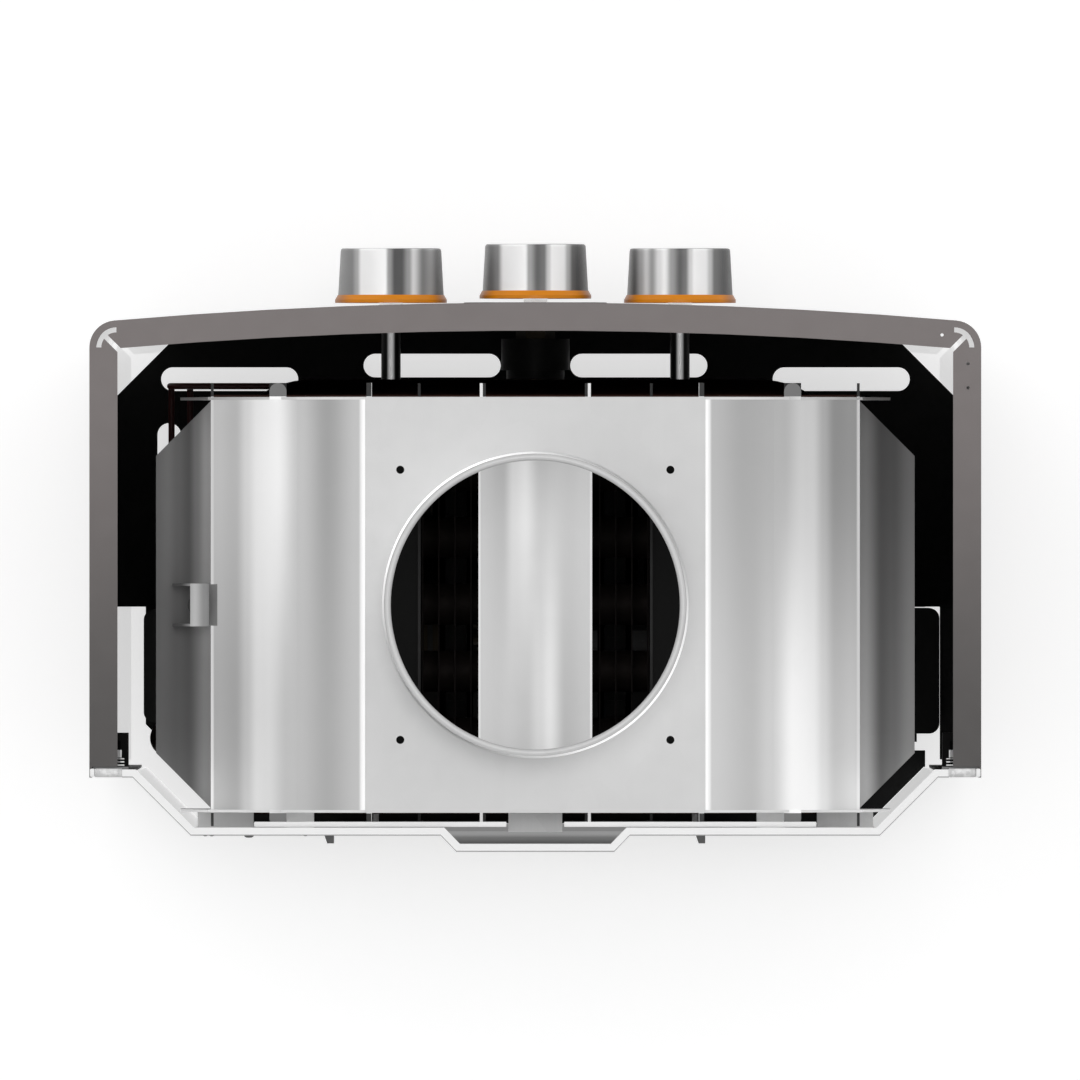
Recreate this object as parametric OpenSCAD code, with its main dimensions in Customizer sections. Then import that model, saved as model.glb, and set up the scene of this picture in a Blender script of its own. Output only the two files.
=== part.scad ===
// Instantaneous gas water heater with a natural draught, open at the top.
// X points right seen from the front, the knobs face -Y, Z is up.
// The wall is the plane Y = 0 and the origin lies midway between the two hanging holes.

/* [Casing] */
// Width of the front cover
casing_w = 330; // [300:1:370]
// Height of the casing
casing_h = 520; // [510:1:600]
// Depth from the wall to the middle of the cover's front
casing_d = 203.3; // [200:0.1:225]
// How far the cover's front bows out between its corners
crown_rise = 6.6; // [3:0.1:9]
// Radius of the cover's upright corners
corner_r = 10; // [6:0.5:10.4]
// Thickness of the painted cover sheet
cover_t = 1; // [0.6:0.1:1.4]
// Width of the flange turned in along the cover's top and bottom
flange_w = 10.4; // [10.4:0.1:14]
// Radius of the curved relief cut in each corner of the top flange
relief_r = 6.5; // [4:0.1:7]
// Width of that relief cut
relief_w = 1.85; // [1:0.05:2.4]
// Distance from the wall to the rear edge of the cover
shoulder_d = 27.5; // [24:0.5:30]

/* [Back panel] */
// Thickness of the galvanised sheet
sheet_t = 1; // [0.6:0.1:1.2]
// Distance from the wall to the flat of the back panel
back_gap = 6; // [4:0.1:7]
// Distance from the cover's side to the line at which the back panel bends forward
bend_inset = 16; // [13:0.5:19]
// Distance from the cover's side to the edge of the back panel
back_edge_inset = 12; // [10:0.1:12.5]
// Width of the band turned in along the back panel's top
back_lip_w = 3; // [2:0.1:3.5]
// Width of the hanging recess at the wall
recess_floor_w = 58.4; // [50:0.1:64]
// Width of the hanging recess at its mouth
recess_mouth_w = 70; // [66:0.5:80]
// Length of the hanging recess
recess_len = 92; // [70:1:120]
// Distance from the casing's top to the hanging holes
hang_drop = 45; // [30:1:60]
// Distance between the two hanging holes
hang_spacing = 36; // [28:1:40]
// Diameter of a hanging hole
hang_hole_d = 8; // [6:0.5:9]
// Distance between the two lower wall screws
wall_screw_spacing = 200; // [160:1:210]
// Height of the lower wall screws above the casing's bottom
wall_screw_z = 24; // [20:0.5:30]
// Diameter of a lower wall screw's hole
wall_screw_d = 6; // [5:0.5:7]

/* [Draught hood] */
// Depth of the hood, over its front and rear plates
hood_d = 154; // [150:0.5:156]
// Distance from the wall to the hood's rear plate
hood_back = 14.4; // [14:0.1:16]
// Width of the hood's top plate
hood_top_w = 126; // [122:0.5:132]
// Height of the hood's top plate above the casing's bottom
hood_top_z = 512; // [506:0.5:515]
// Width of the hood's front and rear plates
hood_plate_w = 264; // [256:1:268]
// Half width at which a side panel bends down
side_bend_x = 88.4; // [84:0.2:92]
// Half width at which a side panel ends
side_end_x = 120.4; // [118:0.2:122]
// Drop of a side panel from the top plate to its bend
side_bend_drop = 12; // [8:0.5:16]
// Drop of a side panel from its bend to its end
side_end_drop = 26; // [20:0.5:30]
// Height of the lip turned down at a side panel's end
side_lip_h = 9; // [6:0.5:12]
// Half width of the throat between the two collector panels
throat_x = 42.6; // [38:0.2:46]
// Half width of the collector over its wings
wing_x = 141.2; // [138:0.2:144]
// Height of the throat above the exchanger's rim
throat_rise = 38; // [32:0.5:42]
// Height of the wings' edge above the exchanger's rim
wing_rise = 9; // [7:0.5:12]
// Width of the baffle over the throat
baffle_w = 42.2; // [36:0.2:48]
// Height of the baffle above the throat
baffle_rise = 16; // [12:0.5:20]
// Rise of the baffle's curve
baffle_bow = 5; // [3:0.5:7]
// How far the lock tabs stand out of the hood's plates
tab_out = 5.2; // [3:0.1:5.6]

/* [Flue collar] */
// Outside diameter of the flue collar
flue_d = 112; // [108:0.5:116]
// Height of the collar above the hood's top plate
collar_h = 30; // [24:0.5:36]
// Wall of the collar
collar_t = 1; // [0.8:0.1:1.4]
// Width of the lip rolled in at the collar's top
collar_lip_w = 2.6; // [2:0.1:4]
// Width of the collar's flange under the top plate
collar_flange_w = 5.5; // [4:0.1:5.9]
// Distance between the rain cap's screw holes
cap_hole_spacing = 100; // [96:1:104]
// Diameter of a rain cap's screw hole
cap_hole_d = 3; // [2.5:0.1:4]

/* [Heat exchanger] */
// Height of the exchanger's top rim above the casing's bottom
exch_top_z = 415; // [410:1:416]
// Height of the exchanger's bottom edge above the casing's bottom
exch_bottom_z = 204; // [200:1:210]
// Width of the combustion chamber
chamber_w = 213; // [205:0.5:214]
// Depth of the combustion chamber
chamber_d = 134.5; // [130:0.5:135]
// Distance from the wall to the combustion chamber
chamber_back = 27; // [27:0.1:28]
// Radius of the chamber's upright corners
chamber_r = 22.7; // [20:0.1:26]
// Thickness of the copper sheet
copper_t = 0.8; // [0.6:0.1:1]
// Width of the box round the fins
fin_box_w = 226; // [222:1:228]
// Height of the box round the fins
fin_box_h = 66; // [62:1:70]
// Diameter of the exchanger's water tubes
tube_d = 15.4; // [14:0.1:16]
// Distance between neighbouring water tubes
tube_pitch = 25; // [24:0.1:26]
// Distance between neighbouring fins
fin_pitch = 6; // [5:0.5:9]
// Thickness of a fin
fin_t = 0.5; // [0.4:0.1:0.8]
// Diameter of the pipe wound round the chamber
coil_d = 14; // [12:0.5:14]
// Radius of the coil's corner bends
coil_bend_r = 30; // [28:0.5:32]
// Climb of the coil in each turn
coil_pitch = 45; // [40:1:46]
// Height of the coil's lowest turn above the exchanger's bottom edge
coil_start = 27; // [24:0.5:30]

/* [Burner] */
// Number of burner bars
bar_count = 10; // [8:1:10]
// Distance between neighbouring bars
bar_pitch = 20; // [18:0.5:20.5]
// Width of a bar's head
bar_w = 13; // [11:0.5:14]
// Depth of the chamber that a bar's head leaves free at its two ends together
bar_spare = 22.5; // [20.5:0.5:30.5]
// Height of a bar's head
bar_head_h = 22; // [18:0.5:24]
// Number of flame ports along a bar
port_count = 14; // [8:1:16]
// Width of a flame port
port_w = 1.4; // [1:0.1:2]
// Diameter of a venturi's mouth
venturi_d = 16; // [14:0.5:17]
// Diameter of the gas manifold
manifold_d = 18; // [16:0.5:18]

/* [Controls] */
// Distance between neighbouring knobs
knob_pitch = 55; // [50:0.5:60]
// Height of the knobs above the casing's bottom
knob_z = 70; // [66:0.5:74]
// Diameter of a knob's cap at its rear
knob_d = 40.2; // [36:0.1:44]
// Length of a knob's cap
knob_len = 17.8; // [14:0.1:22]
// Draft of the cap's side, on its diameter
knob_draft = 2; // [1:0.1:3]
// Thickness of a knob's coloured ring
ring_t = 3; // [2.4:0.1:4]
// How far the ring stands out past the cap, on its radius
ring_out = 1.2; // [0.6:0.1:2]
// Gap between the cover and an outer knob's ring
knob_gap = 3.2; // [2.6:0.1:5]
// Extra gap in front of the middle knob
mid_knob_extra = 0.8; // [0:0.1:2]
// Diameter of the outer knobs' shafts
shaft_d = 7.4; // [6:0.1:8]
// Diameter of the middle knob's shaft
mid_shaft_d = 5.7; // [5:0.1:7]
// Diameter of the season valve's nose
nose_d = 26; // [22:0.5:28]
// Travel of the push rod
rod_travel = 3; // [2:0.1:3.2]

/* [Pipe ends] */
// Distance of the pipe ends from the wall
pipe_back = 60; // [58:0.5:64]
// Distance between neighbouring pipe ends
pipe_pitch = 60; // [58:0.5:62]
// Outside diameter of the half inch pipe thread
thread_d = 20.96; // [20.9:0.01:21]
// Length of a pipe end's thread
thread_len = 14; // [12:0.5:16]
// How far the pipe ends reach below the casing
pipe_drop = 28; // [26:0.5:32]

/* [Air inlet] */
// Length of a slot in the bottom plate
slot_len = 52.4; // [44:0.2:56]
// Width of a slot in the bottom plate
slot_w = 9; // [7:0.1:10]

/* [Battery box] */
// Width of the battery box
batt_w = 72.5; // [71.5:0.5:73.5]
// Depth of the battery box
batt_d = 47.8; // [42:0.2:50]
// Height of the battery box
batt_h = 72; // [69:0.5:78]
// Wall of the battery box
batt_t = 1.6; // [1.2:0.1:1.8]
// Diameter of a battery
cell_d = 33.4; // [32:0.1:34.2]
// Length of a battery
cell_len = 60; // [58:0.5:61.5]

/* [Hidden] */
$fn = 96;

painted = [0.48, 0.46, 0.455];
zinc = [0.80, 0.80, 0.80];
white = [0.93, 0.93, 0.93];
copper = [0.80, 0.47, 0.32];
brass = [0.80, 0.66, 0.36];
black = [0.09, 0.09, 0.10];
steel = [0.70, 0.70, 0.71];
amber = [0.80, 0.46, 0.07];
ceramic = [0.92, 0.90, 0.85];

// Extra length of a cutting shape past the face that it cuts
cut = 1;
// Gap between a loose fitted sheet and its neighbour
seat_gap = 0.2;
// Radial gap of a shaft or pin in its bore
run_gap = 0.05;
// Gap between moving pieces that don't bear on each other
air_gap = 0.3;

// Height of the casing's bottom in the part's frame
base_z = hang_drop - casing_h;
cover_half = casing_w / 2;
bend_x = cover_half - bend_inset;
back_edge_x = cover_half - back_edge_inset;
crown_x = cover_half - corner_r;
crown_radius = (crown_x * crown_x + crown_rise * crown_rise) / (2 * crown_rise);
crown_cy = crown_radius - casing_d;
corner_cy = crown_cy - sqrt(pow(crown_radius - corner_r, 2) - crown_x * crown_x);
cover_rear_y = -shoulder_d;

// The cover's front face at a distance x from its middle
function front_y(x) = crown_cy - sqrt(crown_radius * crown_radius - x * x);

module at_height(z = 0) translate([0, 0, base_z + z]) children();

module both_sides() {
  children();
  mirror([1, 0, 0]) children();
}

// A round bar along X, from x0 to x1
module bar_x(x0, x1, d) translate([x0, 0, 0]) rotate([0, 90, 0]) cylinder(d = d, h = x1 - x0);

// A round bar along Y, from y0 forward to the lower value y1
module bar_y(y0, y1, d) translate([0, y0, 0]) rotate([90, 0, 0]) cylinder(d = d, h = y0 - y1);

// A block between two opposite corners
module block(a, b) translate(a) cube(b - a);

// A hexagonal nut along Z, given its width across the flats
module hex_nut(flats, h) cylinder(d = flats / cos(30), h = h, $fn = 6);

// A slot with round ends along X, centred
module slot_2d(len, w) {
  square([len - w, w], center = true);
  for (s = [-1, 1])
    translate([s * (len - w) / 2, 0]) circle(d = w);
}

// A rectangle with round corners, between two opposite corners
module round_rect(a, b, r) {
  translate([a[0] + r, a[1]]) square([b[0] - a[0] - 2 * r, b[1] - a[1]]);
  translate([a[0], a[1] + r]) square([b[0] - a[0], b[1] - a[1] - 2 * r]);
  for (x = [a[0] + r, b[0] - r], y = [a[1] + r, b[1] - r])
    translate([x, y]) circle(r = r);
}

function unit(v) = v / norm(v);
function spot(p) = [p[0], p[1], p[2]];

// The angle that a pipe turns at point b, and the length of straight pipe that the bend takes
function turn_angle(a, b, c) = acos(unit(spot(b) - spot(a)) * unit(spot(c) - spot(b)));
function bend_len(a, b, c) = b[3] * tan(turn_angle(a, b, c) / 2);

// A bend at point b of a pipe that comes from a and goes on to c
module bend(a, b, c, d) {
  ahead = unit(spot(b) - spot(a));
  axis = unit(cross(ahead, spot(c) - spot(b)));
  out = cross(ahead, axis);
  upright = abs(out[2]) > 0.999;
  roll = upright ? atan2(-out[2] * ahead[0], ahead[1]) : atan2(ahead[2], axis[2]);
  translate(spot(b) - ahead * bend_len(a, b, c) - out * b[3])
    rotate([roll, -asin(out[2]), upright ? 0 : atan2(out[1], out[0])])
      rotate_extrude(angle = turn_angle(a, b, c)) translate([b[3], 0]) circle(d = d);
}

// A pipe through points, each bend's radius being the fourth value of its point
module bent_pipe(points, d) {
  last = len(points) - 1;
  for (i = [0 : last - 1]) {
    ahead = unit(spot(points[i + 1]) - spot(points[i]));
    from = spot(points[i]) + (i == 0 ? 0 : bend_len(points[i - 1], points[i], points[i + 1])) * ahead;
    to = spot(points[i + 1]) - (i + 1 == last ? 0 : bend_len(points[i], points[i + 1], points[i + 2])) * ahead;
    translate(from) rotate([0, acos(ahead[2]), atan2(ahead[1], ahead[0])]) cylinder(d = d, h = norm(to - from));
  }
  for (i = [1 : 1 : last - 1])
    bend(points[i - 1], points[i], points[i + 1], d);
}

// The cover's plan, moved in by inset and reaching back to rear_y
module cover_plan(inset, rear_y) {
  half = cover_half - inset;
  r = corner_r - inset;
  tangent_x = r > 0 ? crown_x * (crown_radius - inset) / (crown_radius - corner_r) : half;
  side_y = r > 0 ? corner_cy : crown_cy - sqrt(pow(crown_radius - inset, 2) - half * half);
  intersection() {
    translate([0, crown_cy]) circle(r = crown_radius - inset, $fn = 360);
    translate([-tangent_x, -casing_d - cut]) square([2 * tangent_x, casing_d + cut + rear_y]);
  }
  translate([-half, side_y]) square([2 * half, rear_y - side_y]);
  if (r > 0)
    for (s = [-1, 1])
      translate([s * crown_x, corner_cy]) circle(r = r);
}

// The anchor shaped relief in a corner of the top flange
module corner_relief() translate([crown_x, corner_cy]) {
  intersection() {
    difference() {
      circle(r = relief_r + relief_w / 2);
      circle(r = relief_r - relief_w / 2);
    }
    translate([0, -casing_w]) square(casing_w);
  }
  rotate(-45) translate([-relief_r / 2, -relief_w / 2]) square([relief_r * 1.5, relief_w]);
}

// Casing

plate_z = 2;
plate_corner = 37.8;
flange_end_gap = 4;
knob_hole_gap = 1.5;
window_z = 197;
window_w = 44;
window_h = 20;
bezel_rim = 5;
bezel_t = 1.8;
glass_t = 2;
pinhole_d = 1.2;
pinholes = [[-150.5, -191.3], [-160.1, -180.6], [-160.1, -171.7]];

module front_cover() color(painted) at_height() difference() {
  union() {
    linear_extrude(casing_h) difference() {
      cover_plan(0, cover_rear_y);
      cover_plan(cover_t, cover_rear_y + cut);
    }
    for (z = [0, casing_h - cover_t])
      translate([0, 0, z]) linear_extrude(cover_t) difference() {
        cover_plan(cover_t / 2, cover_rear_y - flange_end_gap);
        cover_plan(flange_w, cover_rear_y + cut);
      }
  }
  for (z = [-cut, casing_h - cover_t - cut])
    translate([0, 0, z]) linear_extrude(cover_t + 2 * cut) {
      corner_relief();
      mirror([1, 0]) corner_relief();
    }
  for (i = [-1 : 1])
    translate([i * knob_pitch, 0, knob_z])
      bar_y(cover_rear_y - casing_d / 2, -casing_d - cut, (i == 0 ? mid_shaft_d : shaft_d) + 2 * knob_hole_gap);
  translate([0, -casing_d - cut, window_z]) rotate([-90, 0, 0])
    linear_extrude(flange_w) slot_2d(window_w, window_h);
  for (p = pinholes)
    translate([p[0], p[1], casing_h - cover_t - cut]) cylinder(d = pinhole_d, h = cover_t + 2 * cut);
}

module sight_bezel() color(black) at_height() difference() {
  translate([0, -casing_d - bezel_t, window_z]) rotate([-90, 0, 0])
    linear_extrude(bezel_t) slot_2d(window_w + 2 * bezel_rim, window_h + 2 * bezel_rim);
  translate([0, -casing_d - bezel_t - cut, window_z]) rotate([-90, 0, 0])
    linear_extrude(bezel_t + 2 * cut) slot_2d(window_w, window_h);
}

module sight_window() color("lightsteelblue", 0.5) at_height() {
  glass_w = window_w + bezel_rim;
  translate([0, front_y(glass_w / 2) + cover_t + seat_gap / 2, window_z]) rotate([-90, 0, 0])
    linear_extrude(glass_t) slot_2d(glass_w, window_h + bezel_rim);
}

// Half of the back panel's plan, on the face that lies t in front of its rear face
function back_half(t) = [
  [back_edge_x, -shoulder_d - t],
  [bend_x - t * tan(22.5), -shoulder_d - t],
  [bend_x - (shoulder_d - back_gap) - t * tan(22.5), -back_gap - t]
];
function other_half(points) = [for (i = [len(points) - 1 : -1 : 0]) [-points[i][0], points[i][1]]];
function reversed(points) = [for (i = [len(points) - 1 : -1 : 0]) points[i]];
function back_line(t) = concat(back_half(t), other_half(back_half(t)));

// The recess in the back panel, as a solid moved t towards the front
module recess_solid(t) {
  slope = (recess_mouth_w - recess_floor_w) / 2 / back_gap;
  wall = t * sqrt(1 + slope * slope);
  mouth_y = -back_gap - t - (t > 0 ? cut : 0);
  low_z = casing_h - recess_len + t * tan(67.5);
  top_z = casing_h + (t > 0 ? cut : 0);
  floor_x = recess_floor_w / 2 + slope * t - wall;
  mouth_x = recess_floor_w / 2 - slope * mouth_y - wall;
  intersection() {
    linear_extrude(top_z)
      polygon([[floor_x, -t], [mouth_x, mouth_y], [-mouth_x, mouth_y], [-floor_x, -t]]);
    translate([-casing_w / 2, 0, 0]) rotate([90, 0, 90]) linear_extrude(casing_w)
      polygon([[mouth_y, low_z + mouth_y + t], [-t, low_z], [-t, top_z], [mouth_y, top_z]]);
  }
}

module back_sheet(t) difference() {
  union() {
    linear_extrude(casing_h) polygon(concat(back_line(0), reversed(back_line(t))));
    recess_solid(0);
  }
  recess_solid(t);
}

module back_panel() color(white) at_height() difference() {
  union() {
    back_sheet(sheet_t);
    intersection() {
      back_sheet(back_lip_w);
      translate([-casing_w, -casing_d, casing_h - sheet_t]) cube([2 * casing_w, 2 * casing_d, sheet_t]);
    }
  }
  for (s = [-1, 1]) {
    translate([s * hang_spacing / 2, 0, casing_h - hang_drop]) bar_y(cut, -back_gap, hang_hole_d);
    translate([s * wall_screw_spacing / 2, 0, wall_screw_z]) bar_y(0, -back_gap - 2 * sheet_t, wall_screw_d);
  }
}

// The space inside the back panel, at a distance t from its rear face
module room_plan(t) polygon(concat(
  [[cover_half, -casing_d - cut], [cover_half, -shoulder_d - t]],
  [back_half(t)[1], back_half(t)[2]],
  other_half([back_half(t)[1], back_half(t)[2]]),
  [[-cover_half, -shoulder_d - t], [-cover_half, -casing_d - cut]]));

slot_inner_x = 39.5;
slot_outer_x = 116.9;
slot_inner_set = 21.2;
slot_outer_set = 26.4;
slot_side_x = 140;
slot_side_y = -133.9;
notch_x = 149;
notch_y = -89.9;
plate_diagonal = 104;
plate_lip_h = 12;
plate_lip_w = 150;
hot_x = -pipe_pitch;
cold_x = pipe_pitch;
pipe_hole_d = 31;

module bottom_plate() color(black) at_height() {
  lip_y = -back_gap - sheet_t - seat_gap;
  difference() {
    union() {
      translate([0, 0, plate_z]) linear_extrude(sheet_t) intersection() {
        cover_plan(cover_t + 2 * seat_gap, -back_gap);
        room_plan(sheet_t + seat_gap);
      }
      block([-plate_lip_w / 2, lip_y - sheet_t, plate_z], [plate_lip_w / 2, lip_y, plate_z + plate_lip_h]);
    }
    translate([0, 0, plate_z - cut]) linear_extrude(sheet_t + 2 * cut) {
      for (s = [-1, 1]) {
        translate([s * cover_half, -casing_d]) rotate(45) square(plate_corner * sqrt(2), center = true);
        translate([s * slot_inner_x, -casing_d + slot_inner_set]) slot_2d(slot_len, slot_w);
        translate([s * slot_outer_x, -casing_d + slot_outer_set]) slot_2d(slot_len, slot_w);
        translate([s * (notch_x + cover_half), notch_y + cover_half]) square(2 * cover_half, center = true);
      }
      translate([slot_side_x, slot_side_y]) rotate(90) slot_2d(slot_len, slot_w);
      translate([plate_diagonal, 0]) rotate(45) translate([0, -casing_w]) square([casing_w, 2 * casing_w]);
      for (x = [hot_x, 0, cold_x])
        translate([x, -pipe_back]) circle(d = pipe_hole_d);
      translate([batt_x0 - air_gap, batt_y0 - air_gap])
        square([batt_w + 2 * air_gap, batt_d + 2 * air_gap + 2 * hinge_d]);
    }
  }
}

rail_x = back_edge_x - 2.5;
rail_lip = 11;

module side_rails() color(zinc) at_height() both_sides() {
  outer_x = cover_half - cover_t - 2 * seat_gap;
  rear_y = -shoulder_d - sheet_t;
  low_z = cover_t + seat_gap;
  high_z = casing_h - cover_t - seat_gap;
  block([rail_x, rear_y - sheet_t, low_z], [outer_x, rear_y, high_z]);
  block([outer_x - sheet_t, rear_y - rail_lip, low_z], [outer_x, rear_y, high_z]);
  block([rail_x, -shoulder_d - flange_end_gap, high_z - sheet_t], [outer_x, rear_y, high_z]);
}

clip_h = 26;
clip_len = 14.5;

module cover_clips() color(black) at_height() both_sides() difference() {
  outer_x = cover_half - cover_t - 3 * seat_gap - sheet_t;
  rear_y = -shoulder_d - 2 * sheet_t;
  top_z = casing_h - cover_t - seat_gap - sheet_t;
  block([rail_x + seat_gap, rear_y - clip_len, top_z - clip_h], [outer_x, rear_y, top_z]);
  block([rail_x + 3, rear_y - clip_len + 3, top_z - 3], [outer_x - 2, rear_y - 3, top_z + cut]);
}

spacer_base = [[0, 0], [31, 0], [31, 0.8], [25.4, 0.8]];
spacer_tip = [[23.6, 1], [21.1, 1], [21.1, 0.8], [0, 0.8]];
spacer_h = 30;
spacer_z = 56;
spacer_x = [55.6, -85.7];

module wall_spacers() color(white) at_height(spacer_z)
  for (x = spacer_x)
    translate([x, -back_gap]) linear_extrude(spacer_h) polygon(concat(
      spacer_base,
      [for (p = [spacer_tip[0], spacer_tip[1]]) [p[0], back_gap * p[1]]],
      [spacer_tip[2], spacer_tip[3]]));

// Draught hood

hood_front_y = -hood_back - hood_d;
flue_y = -hood_back - hood_d / 2;
hood_in_front = hood_front_y + sheet_t;
hood_in_back = -hood_back - sheet_t;
side_bow = 4;
edge_stand = 0.8;
throat_lip = 8;
wing_cut = 20.7;
wing_lip = 3;
skirt_x = 118;
top_half = hood_top_w / 2;
side_bend = [side_bend_x, hood_top_z - side_bend_drop];
side_end = [side_end_x, hood_top_z - side_bend_drop - side_end_drop];
throat_z = exch_top_z + throat_rise;
wing_z = exch_top_z + wing_rise;
baffle_z = throat_z + baffle_rise;

// The middle and radius of an arc from a to b that bows up by bow
function bow_radius(a, b, bow) = (pow(norm(b - a), 2) / 4 + bow * bow) / (2 * bow);
function bow_centre(a, b, bow) =
  (a + b) / 2 - [a[1] - b[1], b[0] - a[0]] / norm(b - a) * (bow_radius(a, b, bow) - bow);
function bow_height(a, b, bow, x) =
  bow_centre(a, b, bow)[1] + sqrt(pow(bow_radius(a, b, bow), 2) - pow(x - bow_centre(a, b, bow)[0], 2));
function collector_top(x) = throat_z - (throat_z - wing_z) * (x - throat_x) / (wing_x - throat_x);

// A strip of sheet from a to b, bowed up by bow
module bowed_strip(a, b, bow, t) {
  centre = bow_centre(a, b, bow);
  radius = bow_radius(a, b, bow);
  intersection() {
    translate(centre) difference() {
      circle(r = radius);
      circle(r = radius - t);
    }
    polygon([centre, centre + 1.5 * (a - centre), centre + 1.5 * (b - centre)]);
  }
}

// A flat strip of sheet from a to b, of thickness t below that line
module flat_strip(a, b, t) {
  down = [b[1] - a[1], a[0] - b[0]] / norm(b - a) * t;
  polygon([a, b, b + down, a + down]);
}

// A profile in X and Z, drawn out along Y from y0 forward to y1
module along_y(y0, y1) translate([0, y0, 0]) rotate([90, 0, 0]) linear_extrude(y0 - y1) children();

// Each tab is its lower corner's x and z, its width and its height
side_tabs = [
  [92.2, bow_height(side_bend, side_end, side_bow, 92.2) - 2 * sheet_t, 6.3, sheet_t],
  [side_end_x - sheet_t, side_end[1] - 8, sheet_t, 6]
];
collector_tabs = [[throat_x, throat_z + 1, sheet_t, 5]];
baffle_tabs = [[18.4, baffle_z - sheet_t / 2, 2.2, sheet_t]];

module tabs(list)
  for (t = list)
    for (y = [[hood_in_front, hood_front_y - tab_out], [-hood_back + tab_out, hood_in_back]])
      block([t[0], y[1], t[1]], [t[0] + t[2], y[0], t[1] + t[3]]);

module tab_slots(list)
  for (t = list)
    block([t[0] - seat_gap, -casing_d, t[1] - seat_gap], [t[0] + t[2] + seat_gap, 0, t[1] + t[3] + seat_gap]);

module hood_plate(y0) color(zinc) at_height() difference() {
  half = hood_plate_w / 2;
  corner = [
    [half, exch_top_z], [half, exch_top_z + 31],
    [side_end_x + 1, side_end[1] + 9], [side_bend_x, side_bend[1] + 1],
    [top_half, hood_top_z - sheet_t]
  ];
  along_y(y0, y0 - sheet_t) polygon(concat(corner, other_half(corner)));
  both_sides() tab_slots(concat(side_tabs, collector_tabs, baffle_tabs));
}

module hood_front_plate() hood_plate(hood_in_front);
module hood_rear_plate() hood_plate(-hood_back);

// A flue pipe that slides over the collar reaches down through the plate to the collar's flange
pipe_gap = 0.8;

module hood_top_plate() color(zinc) at_height() difference() {
  union() {
    block([-top_half, hood_front_y, hood_top_z - sheet_t], [top_half, -hood_back, hood_top_z]);
    for (s = [-1, 1])
      translate([s * (top_half - 1.5), 0, 0])
        block([-1, hood_front_y - tab_out, hood_top_z - sheet_t], [1, -hood_back + tab_out, hood_top_z]);
  }
  translate([0, flue_y, 0]) {
    cylinder(d = flue_d + 2 * pipe_gap, h = hood_top_z + cut);
    for (x = [-1, 1], y = [-1, 1])
      translate([x, y] * cap_hole_spacing / 2) cylinder(d = cap_hole_d, h = hood_top_z + cut);
  }
}

module flue_collar() color(zinc) at_height() translate([0, flue_y, 0]) rotate_extrude() {
  r = flue_d / 2;
  top_z = hood_top_z + collar_h;
  low_z = hood_top_z - sheet_t - collar_t;
  translate([r - collar_t, low_z]) square([collar_t, top_z - low_z - collar_lip_w / 2]);
  translate([r - collar_t, low_z]) square([collar_t + collar_flange_w, collar_t]);
  translate([r - collar_lip_w / 2, top_z - collar_lip_w / 2]) circle(d = collar_lip_w);
}

module hood_side() {
  along_y(hood_in_back, hood_in_front) {
    translate([top_half, hood_top_z - 6]) square([sheet_t, 6 + edge_stand]);
    flat_strip([top_half + sheet_t / 2, hood_top_z - sheet_t], side_bend, sheet_t);
    bowed_strip(side_bend, side_end, side_bow, sheet_t);
    translate([side_end_x - sheet_t, side_end[1] - side_lip_h]) square([sheet_t, side_lip_h]);
  }
  tabs(side_tabs);
}

module sensor_notch() block([112, -99, 0], [130, -83.6, casing_h]);

module hood_side_right() color(zinc) at_height() difference() {
  hood_side();
  translate([0, 0, side_end[1] - side_lip_h - cut]) intersection() {
    sensor_notch();
    block([115.6, -casing_d, 0], [casing_w, 0, side_lip_h + cut + 4]);
  }
}
module hood_side_left() color(zinc) at_height() mirror([1, 0, 0]) hood_side();

module collector() {
  intersection() {
    along_y(hood_in_back, hood_in_front) {
      flat_strip([throat_x, throat_z], [wing_x, wing_z], sheet_t);
      translate([throat_x, throat_z - sheet_t]) square([sheet_t, throat_lip + sheet_t]);
      translate([wing_x - sheet_t, wing_z - wing_lip]) square([sheet_t, wing_lip - sheet_t / 4]);
      polygon([
        [skirt_x - sheet_t, exch_top_z], [skirt_x, exch_top_z],
        [skirt_x, collector_top(skirt_x) - sheet_t / 2],
        [skirt_x - sheet_t, collector_top(skirt_x - sheet_t) - sheet_t / 2]
      ]);
    }
    linear_extrude(casing_h) polygon([
      [0, hood_in_front], [wing_x - wing_cut, hood_in_front], [wing_x, hood_in_front + wing_cut],
      [wing_x, hood_in_back - wing_cut], [wing_x - wing_cut, hood_in_back], [0, hood_in_back]
    ]);
  }
  tabs(collector_tabs);
}

module collector_right() color(zinc) at_height() collector();
module collector_left() color(zinc) at_height() mirror([1, 0, 0]) collector();

module draft_baffle() color(zinc) at_height() {
  along_y(hood_in_back, hood_in_front)
    bowed_strip([-baffle_w / 2, baffle_z], [baffle_w / 2, baffle_z], baffle_bow, sheet_t);
  both_sides() tabs(baffle_tabs);
}

bracket_blocks = [[0, 440, 20, 30], [87.4, 440, 10.3, 20], [115.2, 425, 20.8, 16]];
burner_bracket_x = 60;
bracket_w = 20;
bracket_h = 30;
bracket_zs = [165, 300];
frame_back = 28;

module mounting_brackets() color(zinc) at_height() {
  panel_y = -back_gap - sheet_t;
  for (b = bracket_blocks, s = b[0] == 0 ? [1] : [-1, 1])
    block([s * b[0] - b[2] / 2, -hood_back, b[1]], [s * b[0] + b[2] / 2, panel_y, b[1] + b[3]]);
  for (z = bracket_zs, s = [-1, 1]) {
    front = z < exch_bottom_z ? -frame_back : -chamber_back;
    translate([s * burner_bracket_x, 0, z]) {
      block([-bracket_w / 2, panel_y - 1.5, 0], [bracket_w / 2, panel_y, bracket_h]);
      block([-bracket_w / 2, front, 0], [bracket_w / 2, front + 1.5, bracket_h]);
      block([-0.75, front, 0], [0.75, panel_y, bracket_h]);
    }
  }
}

sensor_y = [-99.2, -83.3];
sensor_x = [121.3, 135];
sensor_top = 446;
ear_t = 0.9;

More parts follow.
